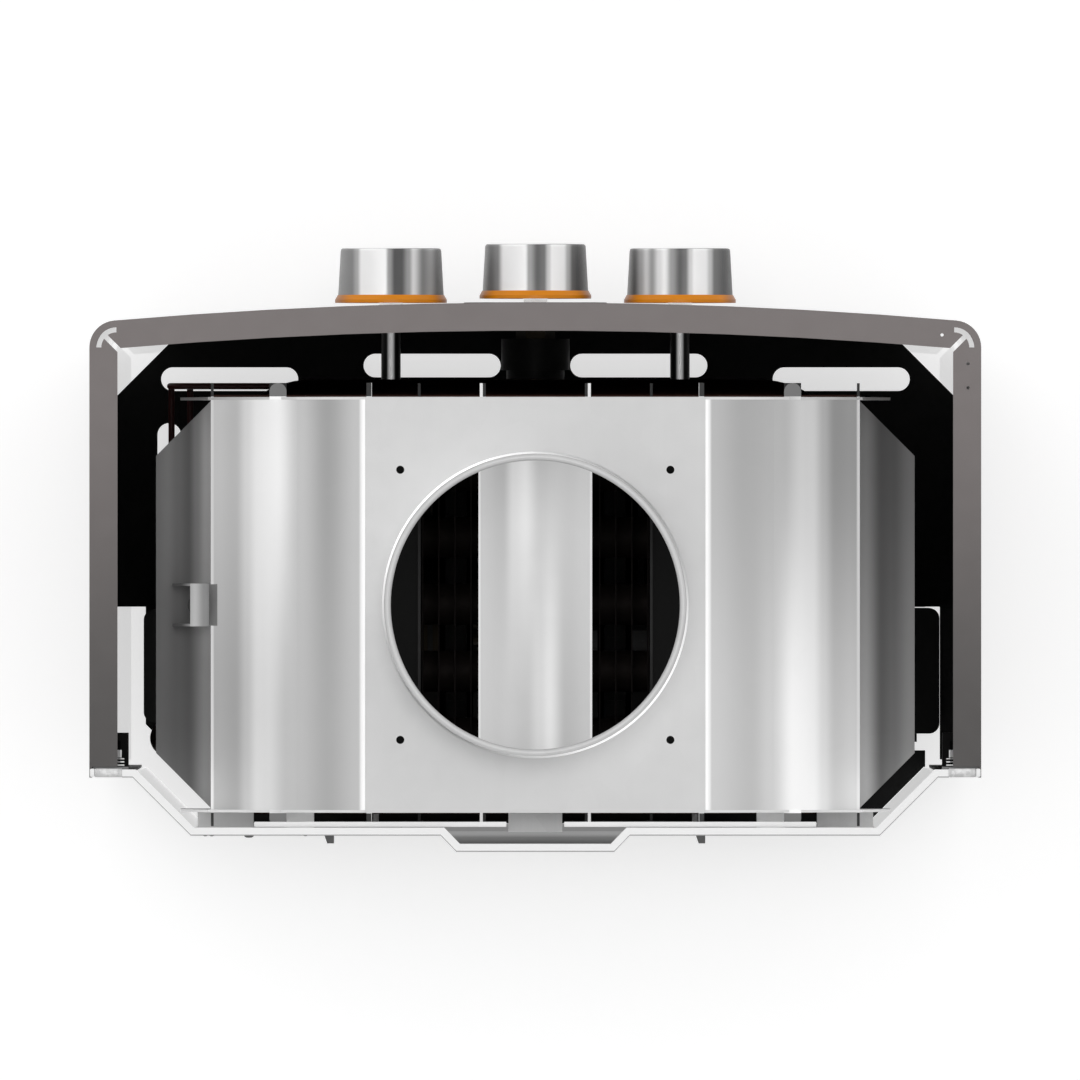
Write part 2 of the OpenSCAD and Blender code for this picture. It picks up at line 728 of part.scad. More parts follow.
module spill_sensor_bracket() color(zinc) at_height() {
  for (y = [sensor_y[0], sensor_y[1] - ear_t])
    translate([0, y + ear_t, 0]) rotate([90, 0, 0]) linear_extrude(ear_t) polygon([
      [sensor_x[0], collector_top(sensor_x[0]) + seat_gap],
      [sensor_x[1], collector_top(sensor_x[1]) + seat_gap],
      [sensor_x[1], collector_top(sensor_x[1]) + 8],
      [sensor_x[0] + 7, sensor_top], [sensor_x[0], sensor_top]
    ]);
  block([sensor_x[0], sensor_y[0], sensor_top - ear_t], [sensor_x[0] + 7, sensor_y[1], sensor_top]);
}

module spill_sensor() color(black) at_height(sensor_top - ear_t) {
  translate([sensor_x[0] + 4, (sensor_y[0] + sensor_y[1]) / 2, -8]) {
    cylinder(d = 8, h = 8);
    for (s = [-1, 1])
      translate([-0.4, s * 2 - 1.2, -4]) cube([0.8, 2.4, 4]);
  }
}

// Heat exchanger

chamber_half = chamber_w / 2;
chamber_front = -chamber_back - chamber_d;
fin_box_half = fin_box_w / 2;
fin_box_front = hood_front_y + 2.4;
fin_box_rear = -hood_back - 8.6;
fin_box_r = 4;
rim_half = 121;
rim_t = 1.2;
rim_out = 1;
ledge_z = exch_top_z - fin_box_h;
tube_z = exch_top_z - 39;
tube_fit = 0.1;
tube_ys = [for (k = [-2 : 2]) flue_y + k * tube_pitch];
tube_end = fin_box_half + 3;

module chamber_plan(inset) round_rect(
  [-chamber_half + inset, chamber_front + inset], [chamber_half - inset, -chamber_back - inset], chamber_r - inset);
module fin_box_plan(inset) round_rect(
  [-fin_box_half + inset, fin_box_front + inset], [fin_box_half - inset, fin_box_rear - inset], fin_box_r - inset);

module exchanger_shell() color(copper) at_height() difference() {
  union() {
    translate([0, 0, exch_bottom_z]) linear_extrude(ledge_z - exch_bottom_z + copper_t) chamber_plan(0);
    translate([0, 0, ledge_z]) linear_extrude(fin_box_h) fin_box_plan(0);
    block([-rim_half, hood_front_y - rim_out, exch_top_z - rim_t], [rim_half, -hood_back + rim_out, exch_top_z]);
  }
  translate([0, 0, exch_bottom_z - cut]) linear_extrude(ledge_z - exch_bottom_z + copper_t + 2 * cut)
    chamber_plan(copper_t);
  translate([0, 0, ledge_z + copper_t]) linear_extrude(fin_box_h) fin_box_plan(copper_t);
  for (y = tube_ys)
    translate([0, y, tube_z]) bar_x(-casing_w, casing_w, tube_d + 2 * tube_fit);
}

fin_count = floor((fin_box_w - 2 * copper_t - 2 * fin_box_r) / fin_pitch) + 1;
fin_low = ledge_z + copper_t + 2;
fin_dip = tube_z + 20;
fin_high = tube_z + 32;

module fin_pack() color(copper) at_height()
  for (i = [0 : fin_count - 1])
    translate([(i - (fin_count - 1) / 2) * fin_pitch - fin_t / 2, 0, 0]) rotate([90, 0, 90]) linear_extrude(fin_t)
      difference() {
        union() {
          front = fin_box_front + copper_t + air_gap;
          translate([front, fin_low]) square([fin_box_rear - copper_t - air_gap - front, fin_dip - fin_low]);
          for (y = tube_ys)
            translate([y - tube_d / 2, fin_low]) square([tube_d, fin_high - fin_low]);
        }
        for (y = tube_ys)
          translate([y, tube_z]) circle(d = tube_d + 2 * tube_fit);
      }

module exchanger_tubes() color(copper) at_height(tube_z) {
  for (y = tube_ys)
    translate([0, y, 0]) bar_x(-tube_end, tube_end, tube_d);
  for (k = [0 : 3]) {
    s = k % 2 == 0 ? 1 : -1;
    translate([s * tube_end, (tube_ys[k] + tube_ys[k + 1]) / 2, 0])
      rotate([0, 0, s * 90 - 180]) rotate_extrude(angle = 180) translate([tube_pitch / 2, 0]) circle(d = tube_d);
  }
}

coil_set = coil_d / 2 + air_gap;
coil_half = chamber_half + coil_set;
coil_front = chamber_front - coil_set;
coil_rear = -chamber_back + coil_set;
coil_z = exch_bottom_z + coil_start;
coil_exit_y = -126.8;
coil_step_y = -108;
riser_x = fin_box_half + 16;
outer_x = riser_x + 8;
pipe_r = 18;
tight_r = 11.5;
water_y = flue_y - 4.6;
water_out_x = 60;
boss_top = 96;
cold_pass_z = 122;

// The corners of one turn of the coil at height z, that climbs to the next at climb_y
function coil_turn(z, climb_y) = [
  [coil_half, coil_rear, z, coil_bend_r], [-coil_half, coil_rear, z, coil_bend_r],
  [-coil_half, coil_front, z, coil_bend_r], [coil_half, coil_front, z, coil_bend_r],
  [coil_half, climb_y, z, tight_r], [coil_half, climb_y, z + coil_pitch, tight_r]
];

module shell_coil() color(copper) at_height() bent_pipe(concat(
  [[water_out_x, water_y, boss_top], [water_out_x, water_y, cold_pass_z, pipe_r],
   [coil_half, water_y, cold_pass_z, pipe_r], [coil_half, water_y, coil_z, pipe_r]],
  coil_turn(coil_z, coil_step_y),
  coil_turn(coil_z + coil_pitch, coil_exit_y),
  [[coil_half, tube_ys[4], coil_z + 2 * coil_pitch, tight_r], [outer_x, tube_ys[4], coil_z + 2 * coil_pitch, tight_r],
   [outer_x, tube_ys[4], tube_z, tight_r], [tube_end, tube_ys[4], tube_z]]), coil_d);

fitting_top = 36;
fitting_flats = 26;
hot_pass_z = 112;

module hot_pipe() color(copper) at_height() bent_pipe([
  [-tube_end, tube_ys[0], tube_z], [-riser_x, tube_ys[0], tube_z, tight_r],
  [-riser_x, tube_ys[0], hot_pass_z, pipe_r], [-riser_x, -pipe_back, hot_pass_z, pipe_r],
  [hot_x, -pipe_back, hot_pass_z, pipe_r], [hot_x, -pipe_back, fitting_top]
], coil_d);

// A pipe end below the casing: thread, collar, plain neck and hexagon
module pipe_end(top_z) {
  translate([0, 0, -pipe_drop]) difference() {
    union() {
      cylinder(d = thread_d, h = thread_len);
      translate([0, 0, thread_len]) cylinder(d = thread_d + 5, h = 4);
      translate([0, 0, thread_len]) cylinder(d = thread_d - 3, h = pipe_drop + top_z - thread_len);
      translate([0, 0, pipe_drop + fitting_top - 16]) hex_nut(fitting_flats, 12);
    }
    translate([0, 0, -cut]) cylinder(d = 13, h = thread_len + cut);
  }
}

module hot_outlet_fitting() color(brass) at_height() translate([hot_x, -pipe_back, 0]) pipe_end(fitting_top);
module water_inlet_fitting() color(brass) at_height() translate([cold_x, -pipe_back, 0]) pipe_end(inlet_boss_z);
module gas_inlet_fitting() color(brass) at_height() translate([0, -pipe_back, 0]) pipe_end(inlet_boss_z);

thermostat_y = -79;
thermostat_z = 395;

module overheat_thermostat() color(black) at_height(thermostat_z) translate([0, thermostat_y, 0]) {
  bar_x(-fin_box_half - 4, -fin_box_half, 13);
  bar_x(-fin_box_half - 8, -fin_box_half - 4, 9);
  for (s = [-1, 1])
    block([-fin_box_half - 13, s * 2.6 - 1.2, -0.4], [-fin_box_half - 8, s * 2.6 + 1.2, 0.4]);
}

// Burner

bar_len = chamber_d - bar_spare;
bar_y0 = flue_y - bar_len / 2;
bar_y1 = flue_y + bar_len / 2;
head_z = 168;
stem_z = 146;
venturi_z = 142;
venturi_wall = 1;
mouth_deep = 24;
manifold_y = -164.5;
nozzle_d = 6;

module burner_bar() {
  block([-bar_w / 2, bar_y0, head_z], [bar_w / 2, bar_y1, head_z + bar_head_h - 5]);
  along_y(bar_y1, bar_y0) polygon([
    [-bar_w / 2, head_z + bar_head_h - 5], [bar_w / 2, head_z + bar_head_h - 5],
    [bar_w / 2 - 2.5, head_z + bar_head_h], [-bar_w / 2 + 2.5, head_z + bar_head_h]
  ]);
  block([-3, bar_y0 + 18, stem_z], [3, bar_y1 - 12, head_z]);
  translate([0, 0, venturi_z]) bar_y(bar_y0 + 50, bar_y0, venturi_d + 2 * venturi_wall);
}

module burner_bars() color(steel) at_height()
  for (i = [0 : bar_count - 1])
    translate([(i - (bar_count - 1) / 2) * bar_pitch, 0, 0]) difference() {
      burner_bar();
      translate([0, 0, venturi_z]) bar_y(bar_y0 + mouth_deep, bar_y0 - cut, venturi_d);
      for (k = [0 : port_count - 1])
        block([-3, bar_y0 + (k + 0.5) * bar_len / port_count - port_w / 2, head_z + bar_head_h - 4],
              [3, bar_y0 + (k + 0.5) * bar_len / port_count + port_w / 2, head_z + bar_head_h + cut]);
    }

frame_half = chamber_half - 1;
frame_front = chamber_front + 1;
frame_low = 160;
electrode_x = 42;
electrode_d = 6;
electrode_y = -170;

module burner_frame() color(steel) at_height() difference() {
  union() {
    block([-frame_half, frame_front, frame_low], [frame_half, -frame_back, exch_bottom_z]);
    block([-chamber_half, chamber_front - 2, exch_bottom_z - 1], [chamber_half, -frame_back + 3, exch_bottom_z]);
  }
  block([-frame_half + 1, frame_front + 1, frame_low - cut], [frame_half - 1, -frame_back - 1, head_z - 1]);
  block([-frame_half + 1, frame_front + 1, head_z], [frame_half - 1, -frame_back - 1, exch_bottom_z + cut]);
  block([-frame_half + 1, bar_y0 + 12, frame_low - cut], [frame_half - 1, bar_y1 - 8, exch_bottom_z]);
  translate([0, frame_front - cut, window_z]) rotate([-90, 0, 0])
    linear_extrude(4 * cut) slot_2d(window_w, 8);
  for (s = [-1, 1])
    translate([s * electrode_x, 0, window_z]) bar_y(frame_front + 4, frame_front - 4, electrode_d + 2 * tube_fit);
}

module electrodes() color(ceramic) at_height(window_z)
  for (s = [-1, 1])
    translate([s * electrode_x, 0, 0]) {
      bar_y(electrode_y + 18, electrode_y, electrode_d);
      bar_y(electrode_y + 32, electrode_y + 18, 1.6);
    }

gas_riser_x = -30;
riser_z = 113;
flange_z = 93;
flange_t = 4;

module gas_manifold() color(steel) at_height() difference() {
  union() {
    translate([0, manifold_y, venturi_z]) bar_x(-98, 98, manifold_d);
    bent_pipe([
      [gas_riser_x, manifold_y, venturi_z], [gas_riser_x, manifold_y, riser_z, tight_r],
      [gas_riser_x, water_y, riser_z, tight_r], [gas_riser_x, water_y, flange_z]
    ], coil_d);
    block([gas_riser_x - 15, water_y - 15, flange_z], [gas_riser_x + 15, water_y + 15, flange_z + flange_t]);
  }
  for (i = [0 : bar_count - 1])
    translate([(i - (bar_count - 1) / 2) * bar_pitch, 0, venturi_z])
      bar_y(manifold_y + manifold_d, manifold_y + manifold_d / 2 - 3, nozzle_d + 2 * tube_fit);
}

module gas_nozzles() color(brass) at_height(venturi_z)
  for (i = [0 : bar_count - 1])
    translate([(i - (bar_count - 1) / 2) * bar_pitch, manifold_y + manifold_d / 2, 0]) difference() {
      union() {
        bar_y(3, -3, nozzle_d);
        bar_y(5, 3, 3);
      }
      bar_y(6, 0, 1);
    }

// Gas and water valves

barrel_d = 46;
gas_x0 = -78;
gas_x1 = 12.5;
valve_front = -150;
season_seat = -122;
season_front = -192;
inlet_boss_z = 50;
inlet_boss_top = 80;
rod_d = 4;
rod_end = -14;
disc_face = 38.7;
disc_t = 1.8;
hub_x = 22;
body_x = 32;
seal_x = 39;
seal_t = 2;
flange_x = seal_x + seal_t;
flange_end = flange_x + 6;
water_flange_d = 70;
cavity_d = 52;
screw_circle = 60;
screw_d = 3;
pad_top = 97;
solenoid_x = -62;

module gas_valve_body() color(steel) at_height() difference() {
  union() {
    translate([0, water_y, knob_z]) {
      bar_x(gas_x0, gas_x1, barrel_d);
      bar_x(gas_x0, gas_x0 + 6, barrel_d + 3);
    }
    translate([-knob_pitch, 0, knob_z]) bar_y(water_y, valve_front, 26);
    translate([0, 0, knob_z]) {
      bar_y(water_y, season_seat, 2 * gas_x1);
      bar_y(-pipe_back, water_y, 22);
    }
    translate([0, -pipe_back, inlet_boss_z]) cylinder(d = 26, h = inlet_boss_top - inlet_boss_z);
    translate([solenoid_x, water_y, knob_z]) cylinder(d = 30, h = flange_z + 2 - knob_z);
    block([gas_riser_x - 15, water_y - 15, knob_z], [gas_riser_x + 15, water_y + 15, flange_z]);
    block([1, water_y - 10, knob_z], [gas_x1 - 0.5, water_y + 10, pad_top]);
  }
  translate([-knob_pitch, 0, knob_z]) bar_y(valve_front + 32, valve_front - cut, shaft_d + 2 * run_gap);
  translate([0, water_y, knob_z]) bar_x(rod_end - 2 * rod_travel, gas_x1 + cut, rod_d + 2 * run_gap);
}

module gas_solenoid() color(black) at_height(flange_z + 2) translate([solenoid_x, water_y, 0]) {
  cylinder(d = 28, h = 4);
  cylinder(d = 24, h = 26);
  translate([0, 0, 26]) cylinder(d = 12, h = 5);
}

module season_valve_body() color(steel) at_height(knob_z) difference() {
  union() {
    bar_y(season_seat, season_seat - 4, 30);
    bar_y(season_seat - 4, season_seat - 30, 20);
    bar_y(season_seat - 30, season_seat - 42, 22);
    bar_y(season_seat - 42, season_seat - 54, nose_d);
    bar_y(season_seat - 54, season_seat - 58, nose_d - 4);
    bar_y(season_seat - 58, season_front, nose_d);
  }
  bar_y(season_front + 34, season_front - cut, mid_shaft_d + 2 * run_gap);
}

gland_t = 5;

module gland_nuts() color(brass) at_height(knob_z) {
  for (g = [[-knob_pitch, valve_front, shaft_d, 17], [0, season_front, mid_shaft_d, 13],
            [knob_pitch, valve_front, shaft_d, 17]])
    translate([g[0], g[1], 0]) difference() {
      rotate([90, 0, 0]) hex_nut(g[3], gland_t);
      bar_y(cut, -gland_t - cut, g[2] + 2 * run_gap);
    }
}

module screw_ring()
  for (i = [0 : 5])
    rotate([30 + 60 * i, 0, 0]) translate([0, screw_circle / 2, 0]) children();

module water_valve_body() color(brass) at_height() translate([0, water_y, knob_z]) difference() {
  union() {
    bar_x(body_x, seal_x, water_flange_d);
    bar_x(hub_x, body_x, 30);
    for (s = [-1, 1])
      translate([0, s * 17, 0]) bar_x(gas_x1, body_x, 7);
  }
  bar_x(body_x + 1.5, seal_x + cut, cavity_d);
  bar_x(hub_x - cut, seal_x, rod_d + 2 * run_gap);
  screw_ring() bar_x(body_x + 1, seal_x + cut, screw_d + 2 * tube_fit);
}

module diaphragm() color(black) at_height(knob_z) translate([0, water_y, 0]) difference() {
  bar_x(seal_x, flange_x, water_flange_d - 2);
  screw_ring() bar_x(seal_x - cut, flange_x + cut, screw_d + 2 * tube_fit);
}

drain_x = 57;
drain_boss_z = 42;

module water_valve_cover() color(brass) at_height() difference() {
  union() {
    translate([0, water_y, knob_z]) {
      bar_x(flange_x, flange_end, water_flange_d);
      bar_x(flange_end, 74, 40);
    }
    translate([knob_pitch, 0, knob_z]) bar_y(water_y, valve_front, 20);
    translate([cold_x, 0, knob_z]) bar_y(-pipe_back, water_y, 22);
    translate([cold_x, -pipe_back, inlet_boss_z]) cylinder(d = 24, h = inlet_boss_top - inlet_boss_z);
    translate([water_out_x, water_y, knob_z]) cylinder(d = 18, h = boss_top - knob_z);
    translate([drain_x, water_y, drain_boss_z]) cylinder(d = 16, h = knob_z - drain_boss_z);
  }
  translate([knob_pitch, 0, knob_z]) bar_y(valve_front + 32, valve_front - cut, shaft_d + 2 * run_gap);
  translate([drain_x, water_y, drain_boss_z - cut]) cylinder(d = 8 + 2 * run_gap, h = 9 + cut);
  translate([0, water_y, knob_z]) screw_ring() bar_x(flange_x - cut, flange_end + cut, screw_d + 2 * tube_fit);
}

module valve_screws() color(steel) at_height(knob_z) translate([0, water_y, 0]) screw_ring() {
  bar_x(body_x + 1.2, flange_end, screw_d);
  bar_x(flange_end, flange_end + 1.9, 6);
}

collar_x = 18.1;
collar_t_rod = 2;
collar_d = 10;

module push_rod() color(steel) at_height(knob_z) translate([0, water_y, 0]) {
  bar_x(rod_end, disc_face, rod_d);
  bar_x(disc_face - disc_t, disc_face, cavity_d - 4);
  bar_x(collar_x, collar_x + collar_t_rod, collar_d);
}

pivot_x = 17.4;
pivot_z = 100;
pin_d = 1.4;
lever_low = 72.9;
lever_w = 5;

module microswitch() color(black) at_height() translate([0, water_y, 0]) {
  block([2, -9, pad_top], [13, 9, pad_top + 10]);
  for (s = [-1, 1])
    block([13, s * 3.4 - 0.6, pivot_z - 2], [pivot_x + 1.4, s * 3.4 + 0.6, pivot_z + 2]);
  translate([pivot_x, 0, pivot_z]) bar_y(3.4, -3.4, pin_d);
}

module microswitch_lever() color(steel) at_height() translate([0, water_y, 0]) difference() {
  union() {
    translate([pivot_x, 0, pivot_z]) bar_y(lever_w / 2, -lever_w / 2, 3);
    block([pivot_x - 0.4, -lever_w / 2, lever_low], [pivot_x + 0.4, lever_w / 2, pivot_z - 0.9]);
  }
  translate([pivot_x, 0, pivot_z]) bar_y(lever_w, -lever_w, pin_d + 2 * run_gap);
}

module drain_plug() color(brass) at_height() translate([drain_x, water_y, drain_boss_z - 10]) {
  difference() {
    cylinder(d = 14, h = 10 - air_gap);
    for (i = [0 : 11])
      rotate(30 * i) translate([7.4, 0, -cut]) cylinder(d = 2, h = 10 + 2 * cut);
  }
  cylinder(d = 8, h = 18);
}

// Knobs

hub_d = 9;
cap_t = 1.2;
cap_edge = 1;

function ring_rear(i) = front_y(i * knob_pitch) - knob_gap - (i == 0 ? mid_knob_extra : 0);

// A turned shape about the knob's axis, from radius and distance in front of y
module turned(i) at_height(knob_z) translate([i * knob_pitch, ring_rear(i), 0])
  rotate([90, 0, 0]) rotate_extrude() children();

module shaft(i, d, bore_y) color(steel) at_height(knob_z) translate([i * knob_pitch, 0, 0])
  bar_y(bore_y + 28, ring_rear(i) - ring_t - 9, d);

module knob_ring(i, d) color(amber) turned(i) difference() {
  union() {
    polygon([
      [0, 0], [knob_d / 2 + ring_out, 0], [knob_d / 2 + ring_out, ring_t * 0.4],
      [knob_d / 2 + 0.2, ring_t], [0, ring_t]
    ]);
    square([knob_d / 2 - cap_t - knob_draft / 2 - tube_fit, ring_t + 9.5]);
    translate([0, -knob_gap + 1.4]) square([hub_d / 2, knob_gap]);
  }
  translate([0, -knob_gap]) square([d / 2 + run_gap, knob_gap + ring_t + 9.1]);
}

module knob_cap(i) color(steel) difference() {
  turned(i) translate([0, ring_t]) difference() {
    r0 = knob_d / 2;
    r1 = r0 - knob_draft / 2;
    union() {
      polygon([[0, 0], [r0, 0], [r1 + knob_draft / 2 * cap_edge / knob_len, knob_len - cap_edge],
               [r1 - cap_edge, knob_len], [0, knob_len]]);
      translate([r1 - cap_edge, knob_len - cap_edge]) circle(r = cap_edge);
    }
    translate([-cut, -cut]) square([r1 - cap_t + cut, knob_len - cap_t + cut]);
  }
  at_height(knob_z) translate([i * knob_pitch, ring_rear(i) - ring_t - knob_len, 0])
    block([-0.6, -cut, knob_d / 4], [0.6, 0.4, knob_d / 2 - 2]);
}

module gas_shaft() shaft(-1, shaft_d, valve_front);
module gas_knob_ring() knob_ring(-1, shaft_d);
module gas_knob_cap() knob_cap(-1);
module season_shaft() shaft(0, mid_shaft_d, season_front);
module season_knob_ring() knob_ring(0, mid_shaft_d);
module season_knob_cap() knob_cap(0);
module water_shaft() shaft(1, shaft_d, valve_front);
module water_knob_ring() knob_ring(1, shaft_d);
module water_knob_cap() knob_cap(1);

// Battery box and igniter

batt_x0 = cover_t + 10.2 - cover_half;
batt_y0 = -89.5;
batt_z = 2.1;
lid_t = 1.6;
hinge_d = 3.2;
hinge_y = batt_y0 + batt_d + 1.9;
hinge_z = 1;
lid_z = 0.2;

module battery_box() color([0.25, 0.25, 0.26]) at_height() {
  x1 = batt_x0 + batt_w;
  y1 = batt_y0 + batt_d;
  difference() {
    union() {
      translate([0, 0, batt_z]) linear_extrude(batt_h) round_rect([batt_x0, batt_y0], [x1, y1], 4);
      block([batt_x0 + 10, batt_y0 - 4, plate_z + sheet_t], [x1 + 4, y1 + 6, plate_z + sheet_t + 1.2]);
    }
    translate([0, 0, batt_z - cut]) linear_extrude(batt_h + cut - batt_t)
      round_rect([batt_x0 + batt_t, batt_y0 + batt_t], [x1 - batt_t, y1 - batt_t], 2.4);
  }
  for (x = [batt_x0 + 8, x1 - 14]) {
    block([x, hinge_y - 1, hinge_z], [x + 6, hinge_y + 1, plate_z + sheet_t + seat_gap]);
    translate([0, hinge_y, hinge_z]) bar_x(x, x + 6, hinge_d);
  }
  translate([0, hinge_y, hinge_z]) bar_x(batt_x0 + 10, x1 - 10, pin_d);
}

module battery_lid() color([0.25, 0.25, 0.26]) at_height() difference() {
  x1 = batt_x0 + batt_w;
  union() {
    translate([0, 0, lid_z]) linear_extrude(lid_t) round_rect([batt_x0, batt_y0], [x1, batt_y0 + batt_d], 4);
    block([batt_x0 + 16, batt_y0 + batt_d - 4, lid_z], [x1 - 16, hinge_y, lid_z + lid_t]);
    translate([0, hinge_y, hinge_z]) bar_x(batt_x0 + 16, x1 - 16, hinge_d);
    block([batt_x0 + batt_w / 2 - 8, batt_y0 - 2.5, lid_z], [batt_x0 + batt_w / 2 + 8, batt_y0 + 4, lid_z + lid_t]);
  }
  translate([0, hinge_y, hinge_z]) bar_x(batt_x0, x1, pin_d + 2 * run_gap);
}

module batteries() color([0.2, 0.2, 0.22]) at_height()
  for (i = [0, 1])
    translate([batt_x0 + batt_t + air_gap + cell_d / 2 + i * (cell_d + 2 * air_gap),
               batt_y0 + batt_t + air_gap + cell_d / 2, batt_z + batt_h - batt_t - cell_len - 2]) {
      cylinder(d = cell_d, h = cell_len);
      translate([0, 0, i == 0 ? cell_len : -1.5]) cylinder(d = 9, h = 1.5);
    }

igniter_x = cover_half - 16;
igniter = [[igniter_x - 53, -89, plate_z + sheet_t], [igniter_x, -46, 85]];

module igniter_box() color(black) at_height() difference() {
  a = igniter[0];
  b = igniter[1];
  translate([0, 0, a[2]]) linear_extrude(b[2] - a[2]) round_rect([a[0], a[1]], [b[0], b[1]], 4);
  for (i = [0 : 4])
    translate([a[0] - cut, a[1] - cut, a[2] + 14 + 12 * i]) cube([b[0] - a[0] + 2 * cut, 2 * cut, 3]);
}

lead_d = 2.4;
lead_r = 5;
lead_y = -173.5;
// The supply lead runs from the batteries to the igniter behind the valves
supply_x = [batt_x0 + 43.8, igniter_x - 37];
supply_z = 92;

// A spark lead from x on the igniter to the electrode at to_x
module spark_lead(x, pass_z, run_z, to_x) bent_pipe(concat(
  [[x, -84, igniter[1][2]], [x, -84, pass_z, lead_r], [x, lead_y, pass_z, lead_r], [x, lead_y, run_z, lead_r]],
  run_z < window_z ? [[to_x, lead_y, run_z, lead_r]] : [],
  [[to_x, lead_y, window_z, 2], [to_x, electrode_y, window_z]]), lead_d);

module ignition_leads() color("firebrick") at_height() {
  spark_lead(igniter_x - 11, 130, window_z, electrode_x);
  spark_lead(igniter_x - 18, 124, window_z - 9, -electrode_x);
  bent_pipe([
    [supply_x[0], -60, batt_z + batt_h], [supply_x[0], -60, supply_z, lead_r],
    [supply_x[0], -30, supply_z, lead_r], [supply_x[1], -30, supply_z, lead_r],
    [supply_x[1], -60, supply_z, lead_r], [supply_x[1], -60, igniter[1][2]]
  ], lead_d);
}

front_cover();
back_panel();
bottom_plate();
side_rails();
cover_clips();
wall_spacers();
sight_window();
sight_bezel();
hood_top_plate();
flue_collar();
hood_front_plate();
hood_rear_plate();
hood_side_right();
hood_side_left();
collector_right();
collector_left();
draft_baffle();
mounting_brackets();
spill_sensor_bracket();
spill_sensor();
exchanger_shell();
fin_pack();
exchanger_tubes();
shell_coil();
overheat_thermostat();
hot_pipe();
hot_outlet_fitting();
water_inlet_fitting();
gas_inlet_fitting();
burner_bars();
burner_frame();
gas_manifold();
gas_nozzles();
electrodes();
gas_valve_body();
gas_solenoid();
season_valve_body();
gland_nuts();
water_valve_body();
water_valve_cover();
diaphragm();
valve_screws();
push_rod();
microswitch();
microswitch_lever();
drain_plug();
gas_shaft();
gas_knob_cap();
gas_knob_ring();
season_shaft();
season_knob_cap();
season_knob_ring();
water_shaft();
water_knob_cap();
water_knob_ring();
battery_box();
battery_lid();
batteries();
igniter_box();
ignition_leads();
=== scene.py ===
"""Looks of an open-topped gas water heater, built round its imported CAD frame.

X points right seen from the front, the knobs face -Y and Z is up. All lengths are metres.
"""
import logging
import math
from dataclasses import dataclass, field
from enum import Enum
from typing import Callable, Iterable, Sequence, Union

import bmesh
import bpy
from mathutils import Matrix, Vector


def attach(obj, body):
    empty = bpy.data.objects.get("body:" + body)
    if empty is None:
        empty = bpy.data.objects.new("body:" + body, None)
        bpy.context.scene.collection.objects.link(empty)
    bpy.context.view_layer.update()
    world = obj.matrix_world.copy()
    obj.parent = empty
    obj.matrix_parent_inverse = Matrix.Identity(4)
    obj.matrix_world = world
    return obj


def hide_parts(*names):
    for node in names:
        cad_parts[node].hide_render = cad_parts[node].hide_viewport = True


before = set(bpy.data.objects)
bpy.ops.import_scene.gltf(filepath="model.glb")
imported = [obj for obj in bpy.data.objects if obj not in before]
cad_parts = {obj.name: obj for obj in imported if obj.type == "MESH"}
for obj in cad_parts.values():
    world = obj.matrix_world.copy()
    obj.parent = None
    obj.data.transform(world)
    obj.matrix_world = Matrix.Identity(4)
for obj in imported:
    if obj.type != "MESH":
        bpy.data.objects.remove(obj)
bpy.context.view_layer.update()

LOG = logging.getLogger("water_heater")
MM = 0.001
FULL_TURN = 2 * math.pi
SHARP_ANGLE = math.radians(32.0)
MERGE_DISTANCE = 1e-7
MADE: dict[str, bpy.types.Material] = {}

Colour = tuple[float, float, float]
Point = tuple[float, float, float]
Span = tuple[float, float]
Stop = tuple[float, Colour]
Bands = tuple[Span, ...]
Mesh = bmesh.types.BMesh
Owner = Union[bpy.types.Material, bpy.types.World]
BLACK: Colour = (0.0, 0.0, 0.0)
WHITE: Colour = (1.0, 1.0, 1.0)
UP = Vector((0, 0, 1))
TO_WALL = Vector((0, 1, 0))


def srgb(red: float, green: float, blue: float) -> Colour:
    """Turns a display colour of 0 to 255 into the linear colour that a shader takes.

    Args:
        red, green, blue: The display values.

    Returns:
        The linear colour.
    """
    def linear(value: float) -> float:
        """The linear value of one channel."""
        share = value / 255
        return share / 12.92 if share <= 0.04045 else ((share + 0.055) / 1.055) ** 2.4
    return linear(red), linear(green), linear(blue)


def grey(value: float) -> Colour:
    """The linear colour of a neutral display grey."""
    return srgb(value, value, value)


class Axis(Enum):
    """A direction in the object's frame."""

    X = 0
    Y = 1
    Z = 2


def _operation(kind: str, swapped: bool = False) -> Callable[..., "Socket"]:
    """A method of Socket that adds one Math node.

    Args:
        kind: The node's operation.
        swapped: Whether the other value comes first.

    Returns:
        The method.
    """
    def method(self: "Socket", other: "Value" = 0.0) -> "Socket":
        """The node's result for self and the other value."""
        inputs = {0: other, 1: self} if swapped else {0: self, 1: other}
        return self.shader.node("ShaderNodeMath", {"operation": kind}, inputs)
    return method


class Socket:
    """One output of a shader node. Arithmetic on it adds Math nodes, and angles are in radians."""

    def __init__(self, shader: "Shader", output: "bpy.types.NodeSocket | None") -> None:
        """Wraps an output of a node that stands in a shader."""
        self.shader = shader
        self.output = output

    __add__ = __radd__ = _operation("ADD")
    __mul__ = __rmul__ = _operation("MULTIPLY")
    __sub__ = _operation("SUBTRACT")
    __rsub__ = _operation("SUBTRACT", swapped=True)
    __truediv__ = _operation("DIVIDE")
    __gt__ = _operation("GREATER_THAN")
    __lt__ = _operation("LESS_THAN")
    __abs__ = _operation("ABSOLUTE")
    sine = _operation("SINE")
    angle_from = _operation("ARCTAN2")
    highest = _operation("MAXIMUM")


Value = Union[Socket, float, Sequence[float]]


